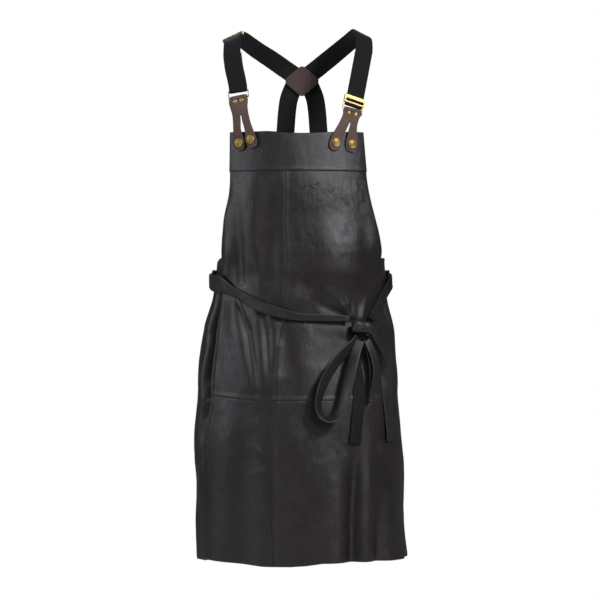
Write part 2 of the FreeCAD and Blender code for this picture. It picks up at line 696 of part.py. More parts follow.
        # Depth of the band's inner face below the button, along the tab's normal.
        post_r = size("post_diameter") / 2.0
        depth = 3.0
        while depth < 60.0:
            pt = face - t["n"] * depth
            xc, a, yc, b_ = form(pt.z)
            lvl = math.sqrt(((pt.x - xc) / (a - LEATHER)) ** 2 + ((pt.y - yc) / (b_ - LEATHER)) ** 2)
            if lvl < 0.975:
                break
            depth += 0.25
        depth += 1.0
        tb = new_body("tack_part_%s_%d" % (side, k))
        tr = size("tack_diameter") / 2.0
        revolve(tb, "tack_%s_%d_turned" % (side, k), [(0, -depth - 1.2), (tr, -depth - 1.2), (tr, -depth), (post_r, -depth),
                                                   (post_r, 1.9), (0, 1.9)])
        tb.Placement = place(face, t["w"], t["n"])
        tacks.append(tb)
        band_cuts.append(Part.makeCylinder(post_r + 0.15, depth + 4.0, face - t["n"] * (depth + 1.0), t["n"]))
        print("tack", side, k, "depth", depth, "at", q)
    doc.recompute()
    comp = doc.addObject("Part::Compound", "button_tacks_" + side)
    comp.Label = "button_tacks_" + side
    comp.Links = tacks
    doc.recompute()
    nodes.append(comp)

band_raw = feature("top_band_sheet", band_base)
cut_tool = feature("top_band_holes", Part.makeCompound(band_cuts))
band = doc.addObject("Part::Cut", "top_band")
band.Label = "top_band"
band.Base = band_raw
band.Tool = cut_tool
doc.recompute()
nodes.append(band)

# ---------------------------------------------------------------- back tabs
for sign, side in ((-1, "left"), (1, "right")):
    strap_shape, spts, sacr = back_strap(sign)
    end = spts[-1]
    inner = at(sign * 95.0, -474.0, -LEATHER - 3.2)
    edge = at(sign * 111.0, -446.0, -LEATHER - 5.0)
    sd = (spts[-2] - end).normalize()
    out = facing(sign * 115.0, -420.0)
    sw = (sacr[-1] - sd * sacr[-1].dot(sd)).normalize()
    sn = sw.cross(sd)
    if sn.dot(out) < 0:
        sn = sn * -1.0
    mids = [end + sd * 24.0 + sn * 3.4, end + sd * 6.0 + sn * 2.7, end - sd * 8.0 + sn * 1.4,
            end * 0.45 + edge * 0.55, edge, inner]
    turn = [sw, sw, sw, (sw + out.cross(edge - end).normalize() * (1.0 if out.cross(edge - end).dot(sw) > 0 else -1.0)).normalize()]
    last = facing(sign * 100.0, -455.0).cross(inner - edge).normalize()
    if last.dot(turn[-1]) < 0:
        last = last * -1.0
    turn += [last, last]
    widths = [size("back_tab_width")] * 3 + [34.0, 30.0, 26.0]
    w, n = sw, sn
    nodes.append(feature("back_tab_" + side, strip(mids, turn, widths, TAB_T)))
    vb = new_body("back_tab_rivets_" + side)
    hr = size("rivet_head") / 2.0
    rv = revolve(vb, "back_rivet_%s_turned" % side, [(0, 0.05), (hr, 0.05), (hr, 0.7), (hr * 0.75, 1.5), (0, 1.9)])
    pat = vb.newObject("PartDesign::LinearPattern", "back_rivet_%s_pair" % side)
    pat.Originals = [rv]
    xaxis = [o for o in vb.Origin.OriginFeatures if o.Role == "X_Axis"][0]
    pat.Direction = (xaxis, [""])
    pat.Length = size("rivet_pitch")
    pat.setExpression("Length", "Sizes.rivet_pitch")
    pat.Occurrences = 2
    vb.Tip = pat
    doc.recompute()
    base = mids[0] * 0.5 + mids[1] * 0.5
    dd = (mids[0] - mids[1]).normalize()
    nn = w.cross(dd)
    if nn.dot(n) < 0:
        nn = nn * -1.0
    vb.Placement = place(base + nn * (TAB_T / 2.0) - w * pitch, w, nn)
    nodes.append(vb)

# ---------------------------------------------------------------- waist tie
KNOT = dict(x=113.0, z=-566.0)


def tie_path(rows):
    """rows of (phi or ('x', x), z, out) -> points and width directions."""
    pts, acr = [], []
    info = []
    for a, z, out in rows:
        phi = angle_at(a[1], z) if isinstance(a, tuple) else a
        pts.append(at(phi, z, out))
        info.append((phi, z))
    n = len(pts)
    for i in range(n):
        d = pts[min(i + 1, n - 1)] - pts[max(i - 1, 0)]
        phi, z = info[i]
        o = at(phi, z, 10.0) - at(phi, z, 0.0)
        acr.append(o.cross(d).normalize())
    return pts, acr


tie_a = [(91.0, -466, 3.0), (100.0, -466, 3.0), (112.0, -466, 3.2), (128.0, -460, 3.2), (145.0, -450, 3.2),
         (165.0, -442, 3.6), (180.0, -440, 5.0), (195, -442, 7.5), (213, -450, 11.5), (233, -461, 11.0),
         (248, -468, 9.8), (262, -472, 8.8), (280, -477, 7.0), (294, -480, 4.8), (302, -484.5, 4.2), (311, -493.5, 3.9),
         (318, -501, 3.9), (325.5, -511, 3.9), (333.5, -522, 3.9), (347.4, -535, 3.9), (360, -543, 3.9),
         (372.5, -544.5, 3.9), (385.6, -546, 4.8), (391, -547, 6.0)]
tie_a_width = [27.0] * 13 + [27.0, 24.0, 17.0, 16.0, 18.0, 20.0, 19.0, 14.0, 13.0, 12.0, 10.0]
tie_b = [(-91.0, -466, 3.0), (-100.0, -466, 3.0), (-112.0, -467, 3.2), (-128.0, -475, 3.2), (-145.0, -485, 3.2),
         (-165.0, -489, 3.6), (-180.0, -490, 5.0), (-195, -488, 7.5), (-213, -482, 9.0), (-233, -476, 9.0),
         (-248, -472, 8.6), (-262, -472, 8.4), (-280, -480, 7.0), (-290, -494, 5.2), (-299, -513, 4.6),
         (-308, -534, 5.0), (-312.5, -546, 6.0)]
tie_b_width = [27.0] * 11 + [26.0, 20.0, 16.0, 15.0, 15.0, 15.0]
for label, rows, widths in (("waist_tie_left", tie_a, tie_a_width), ("waist_tie_right", tie_b, tie_b_width)):
    dense = smooth([tuple(r) + (w,) for r, w in zip(rows, widths)], 2)
    pts, acr = tie_path([r[:3] for r in dense])
    nodes.append(feature(label, strip(pts, acr, [r[3] for r in dense], TIE_T)))

# Knot: the strap's wrap round itself, a rounded oval band standing on the tie.
kphi = angle_at(KNOT["x"], KNOT["z"])
kc = at(kphi, KNOT["z"] - 2.0, 17.0)
kn = facing(kphi, KNOT["z"])
kb = new_body("bow_knot")
sk = new_sketch(kb, "bow_knot_outline")
add_rect(sk, 34.0, 30.0)
kp = pad(kb, "bow_knot_pad", sk, 18.0, both=True)
edges = ["Edge%d" % (i + 1) for i, e in enumerate(kb.Shape.Edges)]
fl = kb.newObject("PartDesign::Fillet", "bow_knot_round")
fl.Base = (kp, edges)
fl.Radius = 6.5
doc.recompute()
kb.Placement = place(kc, V(kn).cross(V(0, 0, 1)) * -1.0, kn)
nodes.append(kb)


def hang(rows, width, thick=TIE_T, tilt=0.0):
    """A strap hanging on the skirt: rows of (x, z, distance off the form)."""
    pts, acr = [], []
    for x, z, out in rows:
        phi = angle_at(x, z)
        pts.append(at(phi, z, out))
    n = len(pts)
    for i in range(n):
        x, z, out = rows[i]
        phi = angle_at(x, z)
        d = (pts[min(i + 1, n - 1)] - pts[max(i - 1, 0)]).normalize()
        o = facing(phi, z)
        side = o.cross(d).normalize()
        a = math.radians(tilt if not isinstance(tilt, (list, tuple)) else tilt[i])
        acr.append(side * math.cos(a) + o * math.sin(a))
    return strip(pts, acr, width, thick)


# Loops: each a ribbon doubled on itself, hanging from the knot. The left one gapes.
def loop(outer, inner, width, tilt):
    rows = outer + inner[::-1]
    return hang(rows, width, TIE_T, tilt)


left_down = [(97, -600, 15.5), (84, -617, 16), (68, -638, 16), (53, -660, 16.5), (40, -681, 17), (32, -702, 17),
             (31, -720, 17), (38, -733, 18), (49, -738, 19)]
left_up = [(61, -732, 20), (70, -717, 21), (76, -697, 22), (81, -675, 22), (86, -653, 21.5), (92, -632, 20.5),
           (101, -611, 19.5)]
nodes.append(feature("bow_loop_left", hang(left_down + left_up, 25.0, 2.0, 45.0)))
right_rows = [(126, -603, 12), (129, -622, 12), (131, -650, 12), (132, -680, 12), (132.5, -700, 13.2),
              (133, -704, 15.4), (133, -700, 17.6), (133, -680, 19), (132, -650, 19), (130.5, -622, 18), (128, -605, 17)]
nodes.append(feature("bow_loop_right", hang(right_rows, 18.0, 2.0, 8.0)))
nodes.append(feature("tie_tail_left", hang([(103, -588, 3.4), (101, -610, 3.0), (102, -640, 3.0), (104, -670, 3.0),
                                         (105, -710, 3.0), (104, -750, 3.0), (103, -790, 3.0)], 25.0, 2.0, 0.0)))
nodes.append(feature("tie_tail_right", hang([(131, -588, 5.8), (144, -608, 5.0), (156, -632, 3.6), (166, -660, 3.2),
                                          (173, -700, 3.2), (177, -745, 3.2), (179.5, -792, 3.2)], 27.0, 2.0, 0.0)))

# ---------------------------------------------------------------- check and write
doc.recompute()
for o in doc.Objects:
    if any(s in ("Invalid", "Error") for s in o.State):
        raise RuntimeError("failed object %s %s" % (o.Name, o.State))
os.makedirs("parts", exist_ok=True)
for name in os.listdir("parts"):
    if name.endswith(".step"):
        os.remove(os.path.join("parts", name))
for o in nodes:
    shape = o.Shape
    if shape.isNull() or not shape.isValid() or not shape.Solids:
        raise RuntimeError("bad shape in %s" % o.Label)
    if any(s.Volume <= 0 for s in shape.Solids):
        raise RuntimeError("inside-out solid in %s" % o.Label)
    shape.exportStep("parts/%s.step" % o.Label)
    bb = shape.BoundBox
    print("%-24s solids %d volume %9.1f  x %.1f..%.1f y %.1f..%.1f z %.1f..%.1f" % (
        o.Label, len(shape.Solids), shape.Volume, bb.XMin, bb.XMax, bb.YMin, bb.YMax, bb.ZMin, bb.ZMax))
print("nodes", len(nodes))
for side in ("left", "right"):
    p, d, w, n = SLIDE_AT[side]
    print("slide", side, tuple(p), tuple(d), tuple(n))
for k, (q, n) in buttons.items():
    print("button", k, tuple(q), tuple(n))
print("knot", tuple(kc), tuple(kn))
swing = kn.cross(V(0, 0, 1))
for name, x, z, out in (("tail_left", 103, -588, 3.4), ("tail_right", 131, -588, 5.8),
                        ("loop_left", 99, -597, 14.0), ("loop_right", 126, -601, 12.0)):
    print("pivot", name, tuple(at(angle_at(x, z), z, out)), tuple(swing))
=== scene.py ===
import bpy
import bmesh
import json
import math
import numpy as np
from mathutils import Vector, Matrix

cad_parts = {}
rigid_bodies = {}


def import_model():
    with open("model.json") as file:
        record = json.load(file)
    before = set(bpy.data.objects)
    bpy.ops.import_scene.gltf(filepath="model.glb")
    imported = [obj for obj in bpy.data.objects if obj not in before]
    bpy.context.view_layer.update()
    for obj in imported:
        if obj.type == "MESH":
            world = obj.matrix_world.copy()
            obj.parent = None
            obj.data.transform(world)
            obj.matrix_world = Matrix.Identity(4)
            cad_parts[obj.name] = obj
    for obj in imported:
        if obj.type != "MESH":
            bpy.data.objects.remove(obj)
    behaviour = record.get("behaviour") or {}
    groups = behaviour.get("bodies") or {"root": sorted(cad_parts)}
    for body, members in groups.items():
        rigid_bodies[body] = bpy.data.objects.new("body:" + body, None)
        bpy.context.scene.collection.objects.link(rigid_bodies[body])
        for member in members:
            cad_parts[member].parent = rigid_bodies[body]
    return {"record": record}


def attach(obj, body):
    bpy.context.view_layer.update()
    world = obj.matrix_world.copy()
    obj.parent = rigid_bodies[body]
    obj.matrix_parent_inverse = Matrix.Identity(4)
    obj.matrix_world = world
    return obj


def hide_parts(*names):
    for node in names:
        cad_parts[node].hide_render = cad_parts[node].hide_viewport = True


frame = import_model()
for spare in [o for o in bpy.data.objects if o.name in ("Cube", "Light", "Camera") and o.type in ("MESH", "LIGHT", "CAMERA")]:
    bpy.data.objects.remove(spare)
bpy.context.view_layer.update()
MM = 0.001
rng = np.random.default_rng(7)

# ------------------------------------------------------------------ the worn form (millimetres)
FORM = np.array(sorted([
    (-170, -7.0, 149, -20, 73), (-185, -6.5, 150, -20, 75), (-240, -4.5, 152, -21, 80), (-300, -2.5, 155, -22, 86),
    (-350, -2.0, 164, -19, 91), (-413, 2.0, 171, -14, 96), (-440, 1.0, 168, -10, 100), (-470, 1.5, 169, -6, 104),
    (-510, 0.5, 172, -3, 110), (-560, -1.0, 183, 0, 116), (-610, -5.0, 190, 2, 121), (-660, -6.0, 196, 3, 126),
    (-706, -5.5, 197, 4, 130), (-780, -6.0, 203, 5, 135), (-860, -2.0, 203, 6, 138), (-940, -1.0, 202, 7, 140),
    (-1021, 3.0, 204, 8, 142), (-1040, 3.0, 204, 8, 142)]), dtype=float)
EDGE = [(-430, 66), (-400, 64), (-330, 61), (-260, 60), (-185, 59), (-170, 59)]
BACK_EDGE = [(-1040, 113), (-860, 112), (-706, 110), (-560, 108), (-450, 104), (-440, 92), (-434, 80), (-430, 70)]
SEAM_L = [(-1040, -66), (-860, -63), (-790, -60), (-706, -56), (-600, -57), (-520, -62), (-430, -66), (-420, -66)]
SEAM_R = [(-1040, 73), (-706, 72), (-520, 70), (-430, 66), (-420, 66)]
CENTRE = [(-1040, -15.5), (-860, -14.5), (-706, -12.5), (-620, -11.5), (-450, -10.5), (-340, -10), (-170, -9.5)]
TOP_Z, BAND_Z, SKIRT_Z, CORNER_Z, HEM_Z = -190.0, -264.0, -703.0, -430.0, -1021.0
LEATHER = 2.0


def _fine_form():
    rows = FORM
    zs = np.arange(rows[0, 0], rows[-1, 0] + 0.5, 1.0)
    out = np.zeros((len(zs), 4))
    n = len(rows)
    for i, z in enumerate(zs):
        k = int(min(max(np.searchsorted(rows[:, 0], z, side="right") - 1, 0), n - 2))
        z0, z1 = rows[k, 0], rows[k + 1, 0]
        s = (z - z0) / (z1 - z0)
        a, b = max(k - 1, 0), min(k + 2, n - 1)
        p1, p2 = rows[k, 1:], rows[k + 1, 1:]
        m1 = (rows[k + 1, 1:] - rows[a, 1:]) / (rows[k + 1, 0] - rows[a, 0]) * (z1 - z0)
        m2 = (rows[b, 1:] - rows[k, 1:]) / (rows[b, 0] - rows[k, 0]) * (z1 - z0)
        out[i] = ((2 * s**3 - 3 * s**2 + 1) * p1 + (s**3 - 2 * s**2 + s) * m1
                  + (-2 * s**3 + 3 * s**2) * p2 + (s**3 - s**2) * m2)
    return zs, out


FZ, FV = _fine_form()


def form(z):
    z = np.clip(z, FZ[0], FZ[-1])
    return [np.interp(z, FZ, FV[:, k]) for k in range(4)]


def table(t, z):
    t = np.array(t, dtype=float)
    return np.interp(z, t[:, 0], t[:, 1])


def base(phi, z, out):
    """Points on the form (arrays of degrees and mm), moved outward by out."""
    xc, a, yc, b = form(z)
    f = np.radians(phi)
    nx, ny = b * np.sin(f), -a * np.cos(f)
    n = np.hypot(nx, ny)
    return np.stack([xc + a * np.sin(f) + out * nx / n, yc - b * np.cos(f) + out * ny / n, z + 0 * f], axis=-1)


def at(phi, z, out=0.0):
    return Vector(base(np.array(float(phi)), np.array(float(z)), out).tolist())


def facing(phi, z):
    return (at(phi, z, 10.0) - at(phi, z, 0.0)).normalized()


def angle_at(x, z):
    xc, a, yc, b = form(np.array(float(z)))
    return math.degrees(math.asin(max(-0.999, min(0.999, (x - float(xc)) / float(a)))))


# ------------------------------------------------------------------ folds
def smoothstep(a, b, x):
    t = np.clip((x - a) / (b - a), 0, 1)
    return t * t * (3 - 2 * t)


def ridge(X, Z, pts, amp, width, skew=0.0):
    """Height of a fold along a line of (x, z) points; amp and width may vary along it."""
    pts = np.array(pts, dtype=float)
    n = len(pts)
    amp = np.interp(np.linspace(0, 1, n), np.linspace(0, 1, len(np.atleast_1d(amp))), np.atleast_1d(amp))
    width = np.interp(np.linspace(0, 1, n), np.linspace(0, 1, len(np.atleast_1d(width))), np.atleast_1d(width))
    best = np.full(X.shape, 1e9)
    height = np.zeros(X.shape)
    for k in range(n - 1):
        p, q = pts[k], pts[k + 1]
        d = q - p
        L2 = float(d @ d)
        t = np.clip(((X - p[0]) * d[0] + (Z - p[1]) * d[1]) / L2, 0, 1)
        dx, dz = X - (p[0] + t * d[0]), Z - (p[1] + t * d[1])
        dist = np.hypot(dx, dz)
        side = np.sign(dx * d[1] - dz * d[0])
        w = (width[k] + (width[k + 1] - width[k]) * t) * (1 + skew * side)
        a = amp[k] + (amp[k + 1] - amp[k]) * t
        h = a * np.exp(-(dist / w) ** 2)
        m = dist < best
        best = np.where(m, dist, best)
        height = np.where(m, h, height)
    return height


def value_noise(u, v, seed):
    g = np.random.default_rng(seed).standard_normal((97, 97))
    iu, iv = np.floor(u).astype(int), np.floor(v).astype(int)
    fu, fv = u - iu, v - iv
    fu, fv = fu * fu * (3 - 2 * fu), fv * fv * (3 - 2 * fv)
    a = g[iu % 97, iv % 97]; b = g[(iu + 1) % 97, iv % 97]
    c = g[iu % 97, (iv + 1) % 97]; d = g[(iu + 1) % 97, (iv + 1) % 97]
    return (a * (1 - fu) + b * fu) * (1 - fv) + (c * (1 - fu) + d * fu) * fv


# Each fold: points (x, z) mm, heights mm, widths mm, skew.
FRONT_FOLDS = [
    # left bib: long vertical drapes from the tab down to the waist
    ([(-88, -250), (-90, -310), (-94, -380), (-96, -440)], [0.5, 3.6, 3.8, 1.6], [17, 19, 17, 13], 0.2),
    ([(-58, -262), (-56, -330), (-54, -400), (-54, -470)], [0, -1.8, -2.2, -1.2], [15, 16, 15, 12], 0),
    ([(-124, -300), (-121, -370), (-117, -430), (-114, -478)], [0, -2.4, -3.4, -3.0], [9, 9, 8, 7], 0),
    ([(-138, -380), (-140, -425), (-146, -462)], [0, 2.4, 3.2], [8, 7, 7], 0),
    ([(-82, -396), (-80, -440), (-76, -486)], [0, 1.4, 1.2], [8, 8, 7], 0),
    # soft belly and chest of the right bib
    ([(60, -330), (72, -400), (70, -455)], [1.2, 3.2, 1.2], [40, 42, 36], 0),
    ([(-8, -330), (0, -400), (14, -470)], [0, -2.4, -3.0], [26, 26, 24], 0),
    ([(112, -300), (121, -360), (128, -420), (134, -470)], [0, -1.6, -2.4, -2.4], [12, 11, 10, 9], 0),
    ([(38, -470), (60, -500), (84, -522)], [0, 2.0, 2.4], [16, 14, 10], 0),
    ([(20, -500), (46, -520), (74, -534)], [0, -2.4, -2.0], [12, 10, 8], 0),
    # creases gathered into the knot
    ([(76, -512), (86, -528), (95, -544)], [0, 1.5, 1.8], [3.4, 3.0, 3.4], 0),
    ([(88, -505), (94, -522), (99, -542)], [0, 1.6, 2.0], [3.4, 3.0, 3.4], 0),
    ([(101, -510), (103, -526), (104, -543)], [0, 1.4, 1.8], [3.6, 3.2, 3.6], 0),
    ([(82, -507), (90, -525), (97, -543)], [0, -1.3, -1.5], [2.8, 2.6, 2.8], 0),
    ([(94, -506), (98, -524), (102, -543)], [0, -1.3, -1.5], [2.8, 2.6, 2.8], 0),
    ([(128, -500), (124, -522), (120, -546)], [0, 1.6, 2.0], [5, 4.5, 4], 0),
    ([(140, -590), (160, -620), (172, -665)], [2.4, 2.0, 0], [9, 10, 12], 0),
    ([(150, -560), (166, -590), (178, -640)], [-2.4, -2.4, 0], [8, 8, 10], 0),
    # skirt under the tie, left
    ([(-136, -512), (-116, -590), (-97, -672)], [2.0, 3.2, 1.4], [12, 15, 14], 0),
    ([(-123, -508), (-101, -568), (-91, -625), (-84, -668), (-82, -700)], [-2.8, -4.6, -3.4, -1.2, 0], [5, 7, 7, 6, 6], 0.25),
    ([(-88, -530), (-75, -590), (-71, -640), (-70, -700)], [1.4, 2.8, 2.4, 0], [8, 9, 9, 8], 0),
    ([(-66, -540), (-62, -600), (-60, -650)], [-1.0, -2.6, -1.2], [6, 7, 6], 0),
    ([(-50, -545), (-46, -600), (-46, -660)], [0.8, 2.0, 0.6], [9, 10, 10], 0),
    ([(-104, -674), (-88, -679), (-70, -677)], [0.2, 0.8, 0.2], [7, 7, 7], 0),
    ([(-30, -556), (-22, -620), (-20, -680)], [-0.6, -2.4, -0.8], [14, 16, 16], 0),
    ([(20, -575), (16, -635), (6, -690)], [0, 1.6, 0.6], [24, 26, 24], 0),
    ([(-64, -700), (-40, -660), (-10, -640)], [0, 1.2, 0], [9, 9, 9], 0),
    # lower skirt
    ([(-140, -720), (-146, -820), (-150, -930), (-152, -1010)], [0.6, 2.6, 3.0, 3.4], [20, 22, 24, 24], 0),
    ([(-104, -720), (-104, -820), (-108, -930), (-112, -1010)], [-0.6, -2.4, -2.6, -3.0], [16, 18, 20, 20], 0),
    ([(-82, -790), (-74, -800), (-66, -812)], [0.4, 1.6, 0.4], [5, 5, 5], 0),
    ([(-62, -760), (-60, -860), (-64, -1010)], [0.6, 2.6, 3.2], [18, 20, 22], 0),
    ([(-8, -770), (-6, -880), (-6, -1010)], [0, -2.4, -3.0], [26, 26, 28], 0),
    ([(62, -800), (68, -900), (70, -1010)], [1.0, 4.2, 5.2], [22, 22, 22], 0),
    ([(109, -786), (104, -860), (100, -940), (100, -1015)], [-1.0, -6.2, -8.0, -8.5], [8, 9.5, 10, 11], 0.2),
    ([(134, -770), (130, -860), (126, -940), (124, -1015)], [1.2, 4.2, 5.0, 5.0], [12, 12, 11, 11], 0),
    ([(152, -900), (151, -950), (150, -1015)], [0, -4.2, -5.6], [7, 7, 8], 0),
    ([(172, -800), (173, -900), (174, -1015)], [0.5, 3.4, 4.2], [12, 12, 12], 0),
    ([(150, -770), (158, -800), (170, -815)], [0, 2.0, 0], [6, 6, 6], 0),
]
SIDE_L_FOLDS = [   # in (y, z): left side panel
    ([(-104, -500), (-86, -560), (-60, -645), (-44, -700)], [2.5, 6.0, 5.0, 2.0], [7, 8, 8, 8], 0),
    ([(-60, -500), (-34, -580), (-14, -680)], [0, -4.0, -1.0], [9, 11, 12], 0),
    ([(-10, -480), (6, -560), (22, -660)], [1.5, 4.5, 2.0], [11, 14, 16], 0),
    ([(-66, -694), (-50, -708), (-36, -724)], [3.0, 3.4, 0], [5, 5, 5], 0),
    ([(-72, -712), (-56, -726), (-42, -744)], [-2.6, -2.6, 0], [4.5, 4.5, 5], 0),
    ([(-46, -780), (-40, -840), (-34, -900)], [0, 3.6, 1.0], [9, 10, 12], 0),
    ([(20, -760), (26, -880), (30, -1015)], [0, -4.5, -6.5], [14, 15, 16], 0),
    ([(-14, -860), (-10, -940), (-8, -1015)], [0, 3.0, 4.5], [13, 14, 14], 0),
]
SIDE_R_FOLDS = [
    ([(-36, -500), (-24, -580), (-14, -680), (-6, -780)], [1.5, 4.0, 3.0, 1.0], [10, 12, 14, 14], 0),
    ([(-6, -480), (10, -570), (22, -680)], [-1.5, -4.5, -1.5], [9, 11, 13], 0),
    ([(34, -500), (40, -600), (44, -720)], [1.0, 3.6, 1.4], [10, 12, 14], 0),
    ([(-20, -800), (-14, -900), (-12, -1015)], [0, -3.6, -4.6], [11, 12, 13], 0),
    ([(16, -760), (22, -880), (26, -1015)], [0.5, 4.2, 5.4], [13, 14, 15], 0),
]
# Height of the middle of the waist tie, where it presses the leather in, by angle.
TIE_LINE = [(-110, -468), (-98, -472), (-80, -478), (-65, -490), (-50, -506), (-35, -522), (-20, -533), (-5, -539),
            (10, -542), (29, -549), (38, -560), (47, -548), (52, -534), (61, -513), (70, -494), (80, -480), (95, -472), (110, -468)]


def eased(z, zs, ys, r=12.0):
    """A profile over height with its corners rounded off."""
    return sum(np.interp(z + o * r, zs, ys) for o in (-1.0, -0.6, -0.25, 0.25, 0.6, 1.0)) / 6.0


def displacement(phi, z):
    """Outward shape of the leather on the form, in mm."""
    p = base(phi, z, 0.0)
    X, Y = p[..., 0], p[..., 1]
    d = np.zeros(phi.shape)
    front = 1 - smoothstep(72, 84, np.abs(phi))
    for pts, amp, width, skew in FRONT_FOLDS:
        d += front * ridge(X, z, pts, [1.35 * a for a in amp], [1.2 * w for w in width], skew)
    left = smoothstep(0, 2.0, table(SEAM_L, z) - phi) * (z < -425)
    for pts, amp, width, skew in SIDE_L_FOLDS:
        d += left * ridge(Y, z, pts, amp, width, skew)
    right = smoothstep(0, 4.0, phi - table(SEAM_R, z)) * (z < -425)
    for pts, amp, width, skew in SIDE_R_FOLDS:
        d += right * ridge(Y, z, pts, amp, width, skew)
    # the pleat: the side leather starts deep behind the front's edge and closes lower down
    deep = eased(z, [-870, -800, -700, -640, -560, -500, -452, -430], [0, -9, -24, -34, -34, -22, -5, 0])
    s = np.clip(table(SEAM_L, z) - phi, 0, 60)
    d += left * deep * np.exp(-(s / 13.0) ** 4)
    d += left * np.interp(z, [-1021, -860, -700, -560, -470, -440], [0, 1, 4.5, 4.5, 2, 0]) * np.exp(-((s - 24) / 16.0) ** 2)
    # the chest stands forward and the leather falls back in above the tie
    chest = 11.5 * np.exp(-((z + 452) / np.where(z > -452, 74.0, 32.0)) ** 2) - 4.5 * np.exp(-((z + 527) / np.where(z > -527, 24.0, 70.0)) ** 2)
    d += front * chest * np.exp(-((X - 66) / np.where(X > 66, 70.0, 88.0)) ** 2)
    # the waist tie gathers the leather under it and it puffs above and below
    t = np.array(TIE_LINE, dtype=float)
    zt = np.interp(phi, t[:, 0], t[:, 1])
    waist = smoothstep(-108, -100, phi) * (1 - smoothstep(100, 108, phi))
    d += waist * (-1.6 * np.exp(-((z - zt) / 13.0) ** 2) + 0.6 * np.exp(-((z - zt - 32) / 20.0) ** 2)
                  - 1.0 * np.exp(-((z - zt + 38) / 30.0) ** 2))
    arc = np.radians(phi) * 165.0
    pucker = np.sin(arc / 5.6 + 1.5 * np.sin(arc / 31.0)) * 0.7 + np.sin(arc / 9.7 + 2.0) * 0.9
    d += waist * pucker * np.exp(-((z - zt) / 20.0) ** 2) * 0.8
    # broad unevenness of worn leather, then finer ripples
    d += 1.5 * value_noise(arc / 88.0 + 40, z / 120.0 + 40, 11)
    d += 0.55 * value_noise(arc / 30.0 + 40, z / 52.0 + 40, 12)
    d += 0.16 * value_noise(arc / 11.0 + 40, z / 15.0 + 90, 13)
    # the sides hug the hips a little more than the form's outline
    d -= smoothstep(-58, -82, phi) * eased(z, [-1021, -700, -560, -480, -430], [4.5, 5.0, 5.0, 7.0, 7.5])
    d -= smoothstep(70, 84, phi) * np.interp(z, [-1021, -560, -480, -440, -430], [0.0, 0.0, 2.5, 5.0, 6.0])
    d += smoothstep(70, 84, phi) * 3.4 * np.exp(-((z + 800) / 70.0) ** 2)
    # hem waves
    d += smoothstep(-860, -1021, z) * (2.2 * np.sin(arc / 33.0 + 0.6) + 1.2 * np.sin(arc / 14.5))
    # the band at the top lies flat, and the bib's free edges roll in slightly
    flat = smoothstep(-290, -250, z)
    d = d * (1 - 0.75 * flat)
    return d


# ------------------------------------------------------------------ mesh helpers
def new_object(name, verts, faces, mats, mat_index=None, smooth=True, uvs=None):
    me = bpy.data.meshes.new(name)
    V3 = np.asarray(verts, dtype=np.float32) if isinstance(verts, np.ndarray) else np.array(
        [(float(v[0]), float(v[1]), float(v[2])) for v in verts], dtype=np.float32)
    if isinstance(faces, np.ndarray):
        flat = faces.astype(np.int32).ravel()
        starts = np.arange(len(faces), dtype=np.int32) * faces.shape[1]
        count = len(faces)
    else:
        sizes = np.array([len(f) for f in faces], dtype=np.int32)
        flat = np.array([int(i) for f in faces for i in f], dtype=np.int32)
        starts = np.concatenate([[0], np.cumsum(sizes)[:-1]]).astype(np.int32)
        count = len(faces)
    me.vertices.add(len(V3))
    me.vertices.foreach_set("co", V3.ravel())
    me.loops.add(len(flat))
    me.loops.foreach_set("vertex_index", flat)
    me.polygons.add(count)
    me.polygons.foreach_set("loop_start", starts)
    me.update(calc_edges=True)
    me.validate()
    for m in mats:
        me.materials.append(m)
    if mat_index is not None:
        me.polygons.foreach_set("material_index", [int(i) for i in mat_index])
    if uvs is not None:
        layer = me.uv_layers.new(name="UVMap")
        loop_vert = np.empty(len(me.loops), dtype=np.int32)
        me.loops.foreach_get("vertex_index", loop_vert)
        layer.data.foreach_set("uv", np.asarray(uvs, dtype=np.float32)[loop_vert].ravel())
    if smooth:
        me.polygons.foreach_set("use_smooth", [True] * len(me.polygons))
    ob = bpy.data.objects.new(name, me)
    bpy.context.scene.collection.objects.link(ob)
    return ob


def fix_normals(ob):
    bm = bmesh.new()
    bm.from_mesh(ob.data)
    bmesh.ops.recalc_face_normals(bm, faces=bm.faces)
    bm.to_mesh(ob.data)
    bm.free()


def grid_normals(P):
    du = np.gradient(P, axis=0)
    dv = np.gradient(P, axis=1)
    n = np.cross(du, dv)
    n /= np.linalg.norm(n, axis=-1, keepdims=True) + 1e-12
    return n


def spaced(length, step, near=(0.0, 0.5, 1.3, 2.6)):
    """Shares 0..1 along a length in mm: close together near both ends."""
    a = [x for x in near if x < length / 2]
    mid = np.linspace(a[-1], length - a[-1], max(int((length - 2 * a[-1]) / step), 2) + 1)[1:-1]
    return np.concatenate([a, mid, [length - x for x in a[::-1]]]) / length


